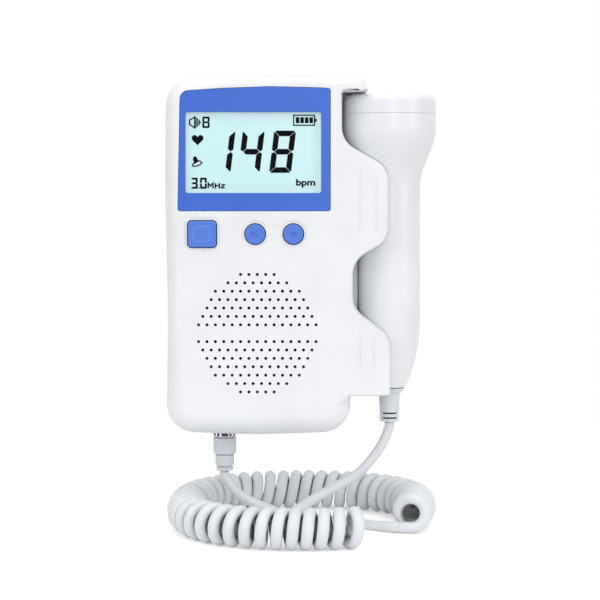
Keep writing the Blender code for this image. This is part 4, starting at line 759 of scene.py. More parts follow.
class Pattern(Nodes):
    """A geometry node tree with named sizes; it ends in real mesh of one finish."""

    def __init__(self, name, **sizes):
        super().__init__(bpy.data.node_groups.new(name, "GeometryNodeTree"))
        self.values = {}
        for label, value in sizes.items():
            item = self.tree.interface.new_socket(label, in_out="INPUT", socket_type="NodeSocketFloat")
            self.values[item.identifier] = value
        self.tree.interface.new_socket("Geometry", in_out="OUTPUT", socket_type="NodeSocketGeometry")
        self.size = self.node("NodeGroupInput").outputs
        self.exit = self.node("NodeGroupOutput")

    def maths(self, operation, first, second):
        return self.node("ShaderNodeMath", {0: first, 1: second}, operation=operation).outputs[0]

    def point(self, x=0.0, y=0.0, z=0.0):
        return self.node("ShaderNodeCombineXYZ", {0: x, 1: y, 2: z}).outputs[0]

    def line(self, count, start, offset):
        sockets = {"Count": count, "Start Location": start, "Offset": offset}
        return self.node("GeometryNodeMeshLine", sockets).outputs[0]

    def build(self, lines, shape, turn=(0.0, 0.0, 0.0), finish=None):
        """The shape at every point of the lines, as a plain object."""
        joined = self.node("GeometryNodeJoinGeometry")
        for line in lines:
            self.tree.links.new(line, joined.inputs[0])
        sockets = {"Points": joined.outputs[0], "Instance": shape.outputs[0], "Rotation": turn}
        placed = self.node("GeometryNodeInstanceOnPoints", sockets)
        real = self.node("GeometryNodeRealizeInstances", {0: placed.outputs[0]})
        painted = self.node("GeometryNodeSetMaterial", {"Geometry": real.outputs[0], "Material": finish})
        self.tree.links.new(painted.outputs[0], self.exit.inputs[0])
        thing = add(self.tree.name, bpy.data.meshes.new(self.tree.name), finish)
        modifier = thing.modifiers.new("pattern", "NODES")
        modifier.node_group = self.tree
        for identifier, value in self.values.items():
            modifier[identifier] = value
        return bake(thing)


def speaker_holes():
    """Cutter for the speaker holes: rows of rods, each row centred."""
    sizes = {"Pitch": HOLE_PITCH, "Radius": HOLE_RADIUS, "Depth": 0.012, "Face": FRONT, "Height": SPEAKER_Z}
    pattern = Pattern("speaker_holes", **sizes)
    step = pattern.size["Pitch"]
    sockets = {"Vertices": 14, "Radius": pattern.size["Radius"], "Depth": pattern.size["Depth"]}
    bore = pattern.node("GeometryNodeMeshCylinder", sockets)
    rows = []
    for row, holes in enumerate(HOLE_ROWS):
        if holes:
            start = pattern.maths("MULTIPLY", step, -(holes - 1) / 2)
            up = pattern.maths("MULTIPLY", step, len(HOLE_ROWS) // 2 - row)
            z = pattern.maths("ADD", pattern.size["Height"], up)
            rows.append(pattern.line(holes, pattern.point(start, pattern.size["Face"], z), pattern.point(step)))
    return pattern.build(rows, bore, (math.pi / 2, 0.0, 0.0))


def bars(name, count, pitch, size, first, step, finish=None):
    """A row of equal boxes from first on, each a step further."""
    pattern = Pattern(name, Pitch=pitch, Width=size[0], Depth=size[1], Height=size[2])
    edges = pattern.point(*(pattern.size[label] for label in ("Width", "Depth", "Height")))
    box = pattern.node("GeometryNodeMeshCube", {"Size": edges})
    reach = pattern.node("ShaderNodeVectorMath", {0: step, "Scale": pattern.size["Pitch"]}, operation="SCALE")
    return pattern.build([pattern.line(count, first, reach.outputs[0])], box, finish=finish)


# ---------------------------------------------------------------- case


def case_corners(bay_reach=0.0, recess_reach=0.0):
    """Front view of the case with its cradle and hook; the reaches carry the cradle's back on behind the probe."""
    shares = (0.1625, 0.4946, 0.5642, 0.7251, 0.8183)
    shoulder_inner, top_outer, top_inner, low_inner, low_outer = (PROBE_TOP - share * PROBE_LENGTH for share in shares)
    hook_tip = BAY_WALL + HOOK + HOOK / 2 + HOOK_TIP
    foot_edge = WING_EDGE + 0.0006
    recess = RECESS_WALL + recess_reach
    bay = BAY_WALL + bay_reach
    shoulder = shoulder_inner - (shoulder_inner - SHOULDER) * bay_reach / (WING_EDGE - BAY_WALL)
    wings = (
        (foot_edge, low_outer),
        (recess, low_inner),
        (recess, top_inner),
        (WING_EDGE, top_outer),
        (WING_EDGE, SHOULDER),
        (bay, shoulder),
    )
    return [
        (-HALF_WIDTH + 0.0006, BOTTOM + LOW_RISE, SIDE_CORNER, LOW_EDGE),
        (0.0, BOTTOM, BOW_RADIUS, LOW_EDGE),
        (HALF_WIDTH, BOTTOM + LOW_RISE, SIDE_CORNER, LOW_EDGE),
        (HALF_WIDTH, WING_FOOT, 0.0, CRADLE_EDGE),
        (foot_edge, WING_FOOT, 0.0015, CRADLE_EDGE),
        *((x, z, WING_CORNER, CRADLE_EDGE) for x, z in wings),
        (bay, HOOK_UNDERSIDE, CRADLE_EDGE, CRADLE_EDGE),
        (hook_tip, HOOK_UNDERSIDE, HOOK_TIP, CRADLE_EDGE),
        (hook_tip - 0.002, TOP - TOP_DROP / 3, HOOK, TOP_EDGE),
        (0.0, TOP, BOW_RADIUS, TOP_EDGE),
        (-HALF_WIDTH + 0.0004, TOP - TOP_DROP, SIDE_CORNER, SIDE_EDGE),
        (-HALF_WIDTH, BOTTOM + HEIGHT * 0.7, BOW_RADIUS, SIDE_EDGE),
        (-HALF_WIDTH + LEFT_DRAWN_IN, BOTTOM + HEIGHT / 3, BOW_RADIUS, SIDE_EDGE),
    ]


def cavity_corners():
    """Front view of the hollow inside the case."""
    left = -HALF_WIDTH + LEFT_DRAWN_IN + WALL
    lower_right = RECESS_WALL - WALL * 1.5
    upper_right = BAY_WALL - WALL
    low = BOTTOM + LOW_RISE + WALL
    high = TOP - TOP_DROP - WALL
    step = SHOULDER - WING_CORNER
    corner = SIDE_CORNER - WALL
    return [
        (left, low, corner, LOW_EDGE - WALL),
        (0.0, BOTTOM + WALL, BOW_RADIUS, LOW_EDGE - WALL),
        (lower_right, low, corner, LOW_EDGE - WALL),
        (lower_right, step - WALL, CRADLE_EDGE, CRADLE_EDGE),
        (upper_right, step, CRADLE_EDGE, CRADLE_EDGE),
        (upper_right, high, CRADLE_EDGE, TOP_EDGE - WALL),
        (left, high, corner, SIDE_EDGE - WALL),
    ]


def probe_radius(down):
    """The probe's radius at a distance below its top."""
    if down <= FLARE_START:
        return HEAD_RADIUS
    if down < FLARE_END:
        share = (down - FLARE_START) / (FLARE_END - FLARE_START)
        return GRIP_RADIUS + (HEAD_RADIUS - GRIP_RADIUS) * (1 + math.cos(math.pi * share)) / 2
    if down <= TAPER_START:
        return GRIP_RADIUS
    share = (down - TAPER_START) / (PROBE_LENGTH - TAPER_START)
    return TAIL_RADIUS + (GRIP_RADIUS - TAIL_RADIUS) * (1 - share * share)


def probe_side(top, foot, growth=0.0, flare=24, taper=14):
    """(radius, height) pairs of the probe's side between two depths."""
    stops = [top]
    for start, end, steps in ((FLARE_START, FLARE_END, flare), (TAPER_START, PROBE_LENGTH, taper)):
        stops += [start + (end - start) * step / steps for step in range(steps + 1)]
    stops = [stop for stop in stops if top <= stop < foot] + [foot]
    return [(probe_radius(stop) + growth, PROBE_TOP - stop) for stop in sorted(set(stops))]


def cradle_channel():
    """The room that the probe takes in the cradle."""
    side = probe_side(0.0, PROBE_LENGTH, 0.0005)
    top = PROBE_TOP + GAP / 3
    foot = WING_FOOT - PAST
    profile = [(0.0, top), (side[0][0], top)] + side[1:] + [(side[-1][0], foot), (0.0, foot)]
    return turned("channel", profile, (AXIS_OUT, MIDDLE, 0.0), steps=112)


def half_space(name, y_from, y_to):
    reach = HEIGHT + PAST
    return block(name, (-reach, y_from, -reach), (reach, y_to, reach))


def screw_spots():
    """X and Z of the four case screws."""
    upper = 0.3188 * 2 * HALF_WIDTH
    lower = 0.3551 * 2 * HALF_WIDTH
    return {
        "upper_left": (-upper, TOP - 0.0077),
        "upper_right": (upper, TOP - 0.0077),
        "lower_left": (-lower, BOTTOM + 0.0108),
        "lower_right": (lower, BOTTOM + 0.0108),
    }


def panel_points(growth=0.0):
    """The display panel's outline, its top edge bowed."""
    left = PANEL_SHIFT - PANEL_WIDTH / 2 - growth
    right = PANEL_SHIFT + PANEL_WIDTH / 2 + growth
    low = PANEL_TOP - PANEL_HEIGHT - growth
    high = PANEL_TOP + growth
    bow = 0.0017
    return outline([
        (left, low, 0.0009 + growth, 0.0),
        (right, low, 0.0009 + growth, 0.0),
        (right, high, 0.0009 + growth, 0.0),
        (PANEL_SHIFT + PANEL_WIDTH / 10, high + bow * 0.7, BOW_RADIUS, 0.0),
        (left + bow / 2, high - bow * 0.6, 0.0032 + growth, 0.0),
    ])


def window_points(growth=0.0):
    width = WINDOW_WIDTH + 2 * growth
    return rectangle(WINDOW_SHIFT, WINDOW_MIDDLE, width, WINDOW_HEIGHT + 2 * growth, 0.0009 + growth)


def power_points(growth=0.0):
    width, height = (side + 2 * growth for side in POWER_SIZE)
    return rectangle(POWER_X, BUTTON_Z, width, height, 0.0014 + growth)


def dish_points():
    """One outline round both round buttons: two circles joined by a band."""
    radius = ROUND_RADIUS + DISH_MARGIN
    open_half = math.asin(0.0063 / 2 / radius)
    sweep = 2 * (math.pi - open_half)
    points = []
    for x, first in ((VOLUME_X, open_half), (MODE_X, math.pi + open_half)):
        for step in range(49):
            angle = first + sweep * step / 48
            points.append((x + radius * math.cos(angle), BUTTON_Z + radius * math.sin(angle), 0.0))
    return points


def door_points(growth=0.0):
    width = 2 * (DOOR_HALF_WIDTH + growth)
    height = DOOR_TOP - DOOR_FOOT + 2 * growth
    return rectangle(0.0, (DOOR_TOP + DOOR_FOOT) / 2, width, height, 0.0022 + growth)


def plug_hole():
    return rod("plug_hole", PLUG_RADIUS + SLIDE, (PLUG_X, MIDDLE, BOTTOM - PAST), BOTTOM + WALL + PAST)


def make_form(name, corners):
    """The case's whole form, hollow, with the probe's room cut from its side."""
    form = slab(name, outline(corners), FRONT, 0.0, EDGE_DEPTH, 12, WHITE)
    hollow = slab("hollow", outline(cavity_corners()), FRONT_INNER, REAR_INNER, EDGE_DEPTH - FRONT_WALL, 4)
    return combine(form, "DIFFERENCE", hollow, cradle_channel())


def wing_grooves():
    """Cutters for the shallow finger grooves on the wings."""
    cutters = []
    for name, left, right, low, high in WING_GROOVES:
        width = right - left
        points = rectangle((left + right) / 2, (low + high) / 2, width, high - low, width * 0.49)
        cutters.append(sink(f"groove_{name}", points, FRONT, FRONT + GROOVE_DEPTH, 0.00012, 0.00012, 3))
    return cutters


def make_case():
    """Both shells and the battery door."""
    front = make_form("case_front", case_corners())
    tongue = link("parting_tongue", front.data.copy())
    combine(front, "DIFFERENCE", half_space("behind", MIDDLE - SEAM / 2, PAST))
    through = FRONT_INNER + PAST
    dish_floor = FRONT + DISH_DEPTH
    round_hole = ROUND_RADIUS + KEY_GAP
    combine(
        front,
        "DIFFERENCE",
        sink("panel_recess", panel_points(0.0001), FRONT, LENS_FRONT, 0.00012),
        slab("lens_pocket", window_points(GLASS_MARGIN + GAP), FRONT - PAST, through),
        sink("power_dish", power_points(DISH_MARGIN), FRONT, dish_floor, 0.00013, 0.00002),
        slab("power_hole", power_points(KEY_GAP), FRONT - PAST, through),
        sink("round_dish", dish_points(), FRONT, dish_floor, 0.00013, 0.00002),
        slab("volume_hole", circle(VOLUME_X, BUTTON_Z, round_hole), FRONT - PAST, through),
        slab("mode_hole", circle(MODE_X, BUTTON_Z, round_hole), FRONT - PAST, through),
        plug_hole(),
        *wing_grooves(),
        speaker_holes(),
    )
    # painted shade on the walls of the button holes
    shade(front, KEY_GAP_SHADE, in_key_hole)
    hand_over(front, "case", "front_shell")
    make_rear()
    make_tongue(tongue)
    make_door()


def in_key_hole(middle):
    """True on the walls of the holes that the button caps come through, which get painted shade."""
    if not FRONT + DISH_DEPTH + HAIR < middle.y < FRONT_INNER - HAIR:
        return False
    reach = ROUND_RADIUS + KEY_GAP + HAIR
    if min(math.hypot(middle.x - x, middle.z - BUTTON_Z) for x in (VOLUME_X, MODE_X)) < reach:
        return True
    width, height = (side / 2 + KEY_GAP + HAIR for side in POWER_SIZE)
    return abs(middle.x - POWER_X) < width and abs(middle.z - BUTTON_Z) < height


def pocket_block(name, wall, rear):
    """A block over the battery pocket, larger by a wall all round."""
    low = (-POCKET_HALF_WIDTH - wall, POCKET_FLOOR - wall, POCKET_FOOT - wall)
    return block(name, low, (POCKET_HALF_WIDTH + wall, rear, POCKET_TOP + wall))


def make_rear():
    """Rear shell with its battery tray, screw wells and the cradle's back."""
    rear = make_form("case_rear", case_corners(REAR_BAY_REACH, REAR_RECESS_REACH))
    combine(rear, "UNION", pocket_block("tray", TRAY_WALL, REAR_ROOT))
    spots = screw_spots().items()
    for name, (x, z) in spots:
        combine(rear, "UNION", rod(f"well_{name}", SCREW_BORE + TRAY_WALL, (x, MIDDLE - 0.001, z), REAR_ROOT, "Y"))
    open_front = half_space("before", FRONT - PAST, MIDDLE + SEAM / 2)
    combine(open_front, "DIFFERENCE", pocket_block("spare", 2 * TRAY_WALL, MIDDLE + PAST))
    combine(rear, "DIFFERENCE", open_front)
    for name, (x, z) in spots:
        wide = sink(f"head_bore_{name}", circle(x, z, SCREW_BORE, 36), 0.0, SCREW_BORE_FOOT, 0.0003)
        narrow = rod(f"shank_bore_{name}", 0.0015, (x, MIDDLE - PAST, z), SCREW_SEAT, "Y", 24)
        combine(rear, "DIFFERENCE", wide, narrow)
    pocket = pocket_block("pocket", 0.0, PAST)
    recess = sink("door_recess", door_points(GAP), 0.0, -DOOR_THICKNESS - GAP, 0.0002)
    thumb = rod("thumb_notch", THUMB_RADIUS, (0.0, -0.001, DOOR_TOP), PAST, "Y")
    combine(rear, "DIFFERENCE", pocket, recess, thumb, plug_hole())
    hand_over(rear, "case", "rear_shell")


def make_tongue(form):
    """The inner rib that closes the line between the two shells."""
    rim = outline(case_corners())
    inner = [(x + n.x * 0.0007, z + n.y * 0.0007, e) for (x, z, e), n in zip(rim, inward(rim))]
    combine(form, "INTERSECT", slab("tongue_space", inner, MIDDLE - SEAM * 1.2, MIDDLE + SEAM * 1.2))
    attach(settle(form, 32.0), "case")


def make_door():
    """Battery door with its grip grooves."""
    pitch = 0.0024
    rings = [(0.0, 0.0, -DOOR_THICKNESS), (0.0, 0.0, -0.00025), (0.0, 0.00008, -0.00008), (0.0, 0.00025, 0.0)]
    door = stack("battery_lid", door_points(), rings, WHITE)
    first = (0.0, 0.0, DOOR_TOP - THUMB_RADIUS - pitch)
    combine(door, "DIFFERENCE", bars("lid_grooves", 4, pitch, (0.014, 0.0012, 0.0011), first, (0, 0, -1)))
    hand_over(door, "battery_cover", "battery_door")


# ---------------------------------------------------------------- display and buttons


def make_display():
    """Bezel, lens and lit glass."""
    rings = [
        (0.0, 0.00025, BEZEL_FRONT),
        (0.0, 0.00007, BEZEL_FRONT + 0.00007),
        (0.0, 0.0, BEZEL_FRONT + 0.00025),
        (0.0, 0.0, BEZEL_REAR),
    ]
    bezel = stack("bezel", panel_points(), rings, BLUE)
    combine(bezel, "DIFFERENCE", sink("window", window_points(), BEZEL_FRONT, BEZEL_REAR + PAST, 0.00025))
    hand_over(bezel, "case", "display_bezel")
    pane = window_points(GLASS_MARGIN)
    hand_over(slab("lens", pane, LENS_FRONT, LENS_REAR, finish=LENS), "case", "display_lens")
    hand_over(slab("lit_glass", pane, LCD_FRONT, LCD_REAR, finish=LCD), "case", "lcd_glass")
    make_symbols()


class Marks:
    """Thin raised figures in one plane of the front, all in one mesh."""

    def __init__(self, front, rear):
        self.front = front
        self.rear = rear
        self.shape = bmesh.new()

    def patch(self, points):
        """A closed figure of (x, z) points."""
        bridge(self.shape, [[self.shape.verts.new((x, y, z)) for x, z in points] for y in (self.front, self.rear)])

    def line(self, points, width, closed=False):
        """A line of even width along (x, z) points."""
        places = [Vector(point) for point in points]
        last = len(places) - 1
        loops = []
        for index, here in enumerate(places):
            before = places[index - 1] if closed or index else 2 * here - places[1]
            after = places[(index + 1) % len(places)] if closed or index < last else 2 * here - places[-2]
            into = (here - before).normalized().orthogonal()
            across = (into + (after - here).normalized().orthogonal()).normalized()
            across *= width / 2 / max(across.dot(into), 0.4)
            rim = ((1, self.front), (-1, self.front), (-1, self.rear), (1, self.rear))
            spots = [(here + across * side, y) for side, y in rim]
            loops.append([self.shape.verts.new((spot.x, y, spot.y)) for spot, y in spots])
        bridge(self.shape, loops, closed)

    def digit(self, lit, left, foot, width, height, stroke, gap, lean=0.0):
        """A seven-segment digit; lit names its segments from A at the top round to G in the middle."""
        half, corner = height / 2, stroke * 0.35
        inner, far = stroke / 2, width - stroke
        upright = [
            (corner / 2, height - corner / 2 - gap),
            (0.0, height - corner),
            (0.0, half + gap + stroke * 0.3),
            (stroke * 0.45, half + gap),
            (stroke, half + inner + gap),
            (stroke, height - stroke - gap),
        ]
        level = [
            (corner / 2 + gap, height - corner / 2),
            (corner, height),
            (width - corner, height),
            (width - corner / 2 - gap, height - corner / 2),
            (far - gap, height - stroke),
            (stroke + gap, height - stroke),
        ]
        bar = [
            (inner + gap, half),
            (stroke + gap, half + inner),
            (far - gap, half + inner),
            (width - inner - gap, half),
            (far - gap, half - inner),
            (stroke + gap, half - inner),
        ]
        segments = {
            "A": level,
            "B": [(width - x, z) for x, z in upright],
            "C": [(width - x, height - z) for x, z in upright],
            "D": [(x, height - z) for x, z in level],
            "E": [(x, height - z) for x, z in upright],
            "F": upright,
            "G": bar,
        }
        for letter in lit:
            self.patch([(left + x + z * lean, foot + z) for x, z in segments[letter]])

    def heart(self, x, z, width, height):
        points = []
        for step in range(40):
            angle = 2 * math.pi * step / 40
            up = 13 * math.cos(angle) - 5 * math.cos(2 * angle) - 2 * math.cos(3 * angle) - math.cos(4 * angle)
            points.append((x + width / 2 * math.sin(angle) ** 3, z + height * (up + 2.5) / 29))
        self.patch(points)

    def lettering(self, words, left, right, low, high, weight):
        """Plain letters fitted to a rectangle."""
        text = bpy.data.curves.new("lettering", "FONT")
        text.body = words
        text.offset = weight
        text.extrude = 0.5
        thing = link("lettering", text)
        mesh = meshed(thing)
        bpy.data.objects.remove(thing)
        across = [vertex.co.x for vertex in mesh.vertices]
        up = [vertex.co.y for vertex in mesh.vertices]
        for vertex in mesh.vertices:
            x = left + (vertex.co.x - min(across)) / (max(across) - min(across)) * (right - left)
            z = low + (vertex.co.y - min(up)) / (max(up) - min(up)) * (high - low)
            vertex.co = (x, self.front if vertex.co.z > 0 else self.rear, z)
        self.shape.from_mesh(mesh)

    def build(self, name, body, finish):
        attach(add(name, close(self.shape, name), finish), body)


def make_symbols():
    """The lit figures: rate, volume step, battery, heart, bell, frequency and unit."""
    ink = Marks(LCD_FRONT - 0.0001, LCD_FRONT + 0.0001)
    for lit, left in (("BC", -0.0181), ("BCFG", -0.0073), ("ABCDEFG", 0.0043)):
        ink.digit(lit, left, 0.0033, 0.0081, 0.0156, 0.00205, 0.0001, LEAN)
    ink.digit("ABCDEFG", -0.0204, 0.0199, 0.0027, 0.0042, 0.00072, 0.00001)
    ink.digit("ABCDG", -0.0247, -0.0026, 0.0026, 0.0041, 0.00074, 0.00001)
    ink.digit("ABCDEF", -0.02125, -0.0026, 0.0025, 0.0041, 0.00074, 0.00001)
    ink.patch([(-0.0219, -0.0026), (-0.02145, -0.0026), (-0.02145, -0.00215), (-0.0219, -0.00215)])
    foot, low, high = -0.00245, -0.0011, -0.0005
    ink.line([(-0.0182, foot), (-0.0182, high), (-0.01732, -0.0016), (-0.01645, high), (-0.01645, foot)], 0.00056)
    for x in (-0.01555, -0.0141):
        ink.line([(x, foot), (x, high)], 0.00056)
    ink.line([(-0.0154, -0.00145), (-0.01425, -0.00145)], 0.0005)
    ink.line([(-0.0134, low), (-0.0122, low), (-0.0134, foot + 0.0002), (-0.0121, foot + 0.0002)], 0.00048)
    ink.lettering("bpm", 0.01425, 0.0214, -0.0022, 0.00105, 0.032)
    ink.heart(-0.02215, 0.0153, 0.0044, 0.0040)
    ink.line([(-0.0251, 0.0228), (-0.0232, 0.02395), (-0.0232, 0.01995), (-0.0251, 0.0212)], 0.0005, True)
    for x, low, high in ((-0.02268, 0.0200, 0.0239), (-0.02212, 0.0204, 0.0235), (-0.02158, 0.0209, 0.0230)):
        ink.line([(x, low), (x, high)], 0.00038)
    ink.patch([(-0.02133, 0.0226), (-0.0209, 0.02195), (-0.02133, 0.0213)])
    ink.patch([
        (-0.0237, 0.0091), (-0.0232, 0.0095), (-0.0226, 0.0092), (-0.0222, 0.0084),
        (-0.0217, 0.0077), (-0.0238, 0.0065), (-0.0236, 0.0074), (-0.0239, 0.0083),
    ])
    rim = [
        (-0.0238, 0.0066), (-0.0217, 0.0078), (-0.0209, 0.0075), (-0.0206, 0.0070),
        (-0.0213, 0.0063), (-0.0227, 0.0057), (-0.0237, 0.0057), (-0.0241, 0.0061),
    ]
    ink.line(rim, 0.00046, True)
    shell = [(0.0134, 0.0209), (0.0211, 0.0209), (0.0211, 0.0246), (0.0134, 0.0246)]
    ink.line(shell, 0.00044, True)
    ink.patch([(0.0212, 0.0233), (0.0219, 0.0233), (0.0219, 0.0222), (0.0212, 0.0222)])
    charge = bars("charge", 4, 0.00168, (0.00132, 0.0002, 0.0022), (0.01485, LCD_FRONT, 0.02278), (1, 0, 0), SEGMENT)
    ink.shape.from_mesh(charge.data)
    bpy.data.objects.remove(charge)
    ink.build("display_figures", "case", SEGMENT)


def cap(name, body, points, node, hollow_by):
    """A button cap: domed top with a soft edge, flange and stem behind the wall; node is (x, CAD node)."""
    top = FRONT - BUTTON_PROUD
    edge = 0.00045
    flange = -0.0008
    rings = [(0.0, hollow_by, top + 0.00006)]
    rings += [(0.0, edge * inset, top + edge * fall) for inset, fall in reversed(quarter(6))]
    rings += [(0.0, 0.0, FLANGE_FRONT), (0.0, flange, FLANGE_FRONT), (0.0, flange, FLANGE_REAR)]
    piece = stack(name, points, rings, BUTTON_BLUE)
    # painted shade on the cap's side and flange, seen through the gap in the wall
    shade(piece, KEY_GAP_SHADE, lambda middle: middle.y > top + edge * 0.7)
    stem = rod(f"{name}_stem", 0.0014, (node[0], FLANGE_FRONT + 0.0001, BUTTON_Z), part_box(node[1])[1].y, "Y")
    combine(piece, "UNION", stem)
    hand_over(piece, body, node[1])


def make_buttons():
    """Square power cap and two round caps, with their marks."""
    cap("power_key", "power_cap", power_points(), (POWER_X, "power_button"), 0.0011)
    cap("volume_key", "volume_cap", circle(VOLUME_X, BUTTON_Z, ROUND_RADIUS), (VOLUME_X, "volume_button"), 0.0008)
    cap("mode_key", "mode_cap", circle(MODE_X, BUTTON_Z, ROUND_RADIUS), (MODE_X, "mode_button"), 0.0008)
    top = FRONT - BUTTON_PROUD
    # the power cap's bead is a lighter blue, a painted highlight
    bead = Marks(top, top + 0.0002)
    ring = rectangle(POWER_X, BUTTON_Z, 0.0060, 0.0055, 0.0014)
    bead.line([point[:2] for point in ring], 0.00034, True)
    bead.build("power_bead", "power_cap", BEAD_HIGHLIGHT)
    heart = Marks(top + 0.00002, top + 0.0002)
    heart.heart(MODE_X, BUTTON_Z - 0.0002, 0.0028, 0.0025)
    heart.build("mode_mark", "mode_cap", BUTTON_MARK)
    horn = Marks(top + 0.00002, top + 0.0002)
    x, z = VOLUME_X - 0.0008, BUTTON_Z + 0.0001
    horn.patch([
        (x - 0.0009, z - 0.0005), (x - 0.0009, z + 0.0005), (x - 0.0004, z + 0.0005),
        (x + 0.0004, z + 0.0012), (x + 0.0004, z - 0.0012), (x - 0.0004, z - 0.0005),
    ])
    for radius in (0.0011, 0.0018):
        wave = [math.radians(angle) for angle in range(-45, 46, 15)]
        horn.line([(x + radius * math.cos(a), z + radius * math.sin(a)) for a in wave], 0.00028)
    horn.build("volume_mark", "volume_cap", BUTTON_MARK)


# ---------------------------------------------------------------- probe


def make_probe():
    """Cap, handle halves and strain relief."""
    place = (AXIS_OUT, MIDDLE, 0.0)
    corner = 0.0026
    crown = 0.0003
    soft = 0.00009
    ease = 0.0006
    hole = 0.0032 + GAP
    seam = PROBE_TOP - CAP_HEIGHT
    inner = HEAD_RADIUS - PROBE_WALL
    roof = PROBE_TOP - crown - PROBE_WALL
    flat = HEAD_RADIUS - corner
    profile = [(flat * step / 8, PROBE_TOP - crown * (step / 8) ** 2) for step in range(9)]
    profile += [(flat + corner * (1 - out), PROBE_TOP - crown - corner * down) for down, out in quarter(10)[1:]]
    profile += [(HEAD_RADIUS, seam + soft), (HEAD_RADIUS - soft * 0.3, seam + soft * 0.3), (HEAD_RADIUS - soft, seam)]
    profile += [(inner, seam), (inner, roof), (0.0, roof)]
    hand_over(turned("probe_head", profile, place, "Z", PROBE_WHITE, 112), "probe", "probe_cap")
    start = CAP_HEIGHT + HEAD_LINE
    outer = probe_side(start, PROBE_LENGTH)
    outer[0] = (outer[0][0] - soft, outer[0][1])
    outer.insert(1, (outer[0][0] + soft * 0.7, outer[0][1] - soft * 0.3))
    outer.insert(2, (HEAD_RADIUS, outer[0][1] - soft))
    foot = PROBE_FOOT
    last = outer[-1][0]
    outer[-1] = (last, foot + ease)
    outer += [(last - ease * 0.3, foot + ease * 0.3), (last - ease, foot)]
    core = probe_side(start, PROBE_LENGTH - PROBE_WALL, -PROBE_WALL, 10, 6)
    profile = outer + [(hole, foot), (hole, foot + PROBE_WALL)] + list(reversed(core))
    whole = turned("handle_front", profile, place, "Z", PROBE_WHITE, 112)
    back = link("handle_rear", whole.data.copy())
    reach = HEAD_RADIUS + PAST
    line = 0.00006
    left = (AXIS_OUT - reach, PROBE_FOOT - PAST)
    right = (AXIS_OUT + reach, PROBE_TOP)
    for piece, node, y_from, y_to in (
        (whole, "probe_front_half", MIDDLE - line, MIDDLE + reach),
        (back, "probe_rear_half", MIDDLE - reach, MIDDLE + line),
    ):
        combine(piece, "DIFFERENCE", block("cut", (left[0], y_from, left[1]), (right[0], y_to, right[1])))
        hand_over(piece, "probe", node)
    make_relief(place)


def make_relief(place):
    """The grey strain relief: flared collar, tapered neck and two rows of flex slots."""
    floor = PROBE_FOOT + PROBE_WALL + GAP
    neck = 0.0032
    tail = 0.0036
    flange = probe_radius(PROBE_TOP - floor) - PROBE_WALL - GAP
    profile = [(0.0, floor + 0.0013), (flange, floor + 0.0013), (flange, floor), (neck, floor), (neck, RELIEF_TOP)]
    side = [(neck, RELIEF_TOP), (0.95 * TAIL_RADIUS, RELIEF_TOP), (0.0046, COLLAR_FOOT), (0.0040, COLLAR_FOOT)]
    side += [(tail, FLEX_TOP), (tail, RELIEF_FOOT), (0.0, RELIEF_FOOT)]
    profile += eased(side)[1:]
    piece = turned("relief", profile, place, "Z", RELIEF_GREY)
    for row in range(2):
        z = FLEX_TOP - FLEX_PITCH * row
        for y in (MIDDLE - 0.0045, MIDDLE + 0.0025):
            slot = block("slot", (AXIS_OUT - 0.0027, y, z - 0.0006), (AXIS_OUT + 0.0027, y + 0.002, z))
            combine(piece, "DIFFERENCE", slot)

    def gets_painted_dark(middle):
        """True on the floors and sides of the flex slots, which get painted shade."""
        return FLEX_TOP - 0.0025 < middle.z < FLEX_TOP + 0.00001 and off_axis(middle, AXIS_OUT) < tail - 0.00015

    # painted shade in the flex slots
    shade(piece, PAINTED_DARK, gets_painted_dark)
    hand_over(piece, "probe", "probe_strain_relief", 50)


def make_plug():
    """Chrome sleeve and moulded grey plug body."""
    place = (PLUG_X, MIDDLE, 0.0)
    bore = PLUG_RADIUS - 0.0008
    rim = PLUG_SHELL_FOOT
    sleeve = [(bore, PLUG_SHELL_TOP), (PLUG_RADIUS - 0.0003, PLUG_SHELL_TOP), (PLUG_RADIUS, PLUG_SHELL_TOP - 0.0003)]
    sleeve += [(PLUG_RADIUS, rim + 0.0004), (PLUG_RADIUS - 0.00015, rim + 0.0003), (PLUG_RADIUS, rim + 0.0002)]
    sleeve += [(PLUG_RADIUS, rim + 0.0001), (PLUG_RADIUS - 0.0001, rim), (bore, rim)]
    shell = turned("plug_sleeve", sleeve, place, "Z", CHROME)

    def in_painted_reflection(spot):
        """Three dark patches in each quarter of the sleeve's side, a painted reflection of dark surroundings in the
        chrome; no slots are cut.
        """
        turn = (math.degrees(math.atan2(spot.x - PLUG_X, MIDDLE - spot.y)) + 45) % 90 - 45
        gets_painted_dark = -40 < turn < -25 or -15 < turn < 20 or 25 < turn < 40
        return gets_painted_dark and spot.z > rim + 0.0004 and off_axis(spot, PLUG_X) > PLUG_RADIUS - 0.0001

    # painted reflection: dark patches on the chrome sleeve
    shade(shell, PAINTED_DARK, in_painted_reflection)
    hand_over(shell, "plug", "plug_shell")
    z = PLUG_SHELL_FOOT - GAP
    side = [(0.0, z)]
    sections = ((0.00435, 0.0062), (0.0036, 0.0041), (0.0032, 0.0013))
    for index, (radius, length) in enumerate(sections):
        side += [(radius, z), (radius, z - length)]
        z -= length
        if index < 2:
            neck = min(radius, sections[index + 1][0]) - 0.0007
            side += [(neck, z), (neck, z - 0.0005)]
            z -= 0.0005
    side.append((0.0, z))
    hand_over(turned("plug_grip", eased(side), place, "Z", RELIEF_GREY), "plug", "plug_body", 50)


# ---------------------------------------------------------------- cords


def soft_step(share):
    """A share of 0 to 1 with both its ends eased."""
    share = min(max(share, 0.0), 1.0)
    return share * share * (3 - 2 * share)


def reaches(points):
    """The length along a line up to each of its points."""
    lengths = [0.0]
    for before, after in zip(points, points[1:]):
        lengths.append(lengths[-1] + (after - before).length)
    return lengths


def walk(lengths, stops):
    """For each stop along a line, the point before it and the share of the way to the next point."""
    index = 0
    for stop in stops:
        while index < len(lengths) - 2 and lengths[index + 1] < stop:
            index += 1
        yield index, (stop - lengths[index]) / (lengths[index + 1] - lengths[index])


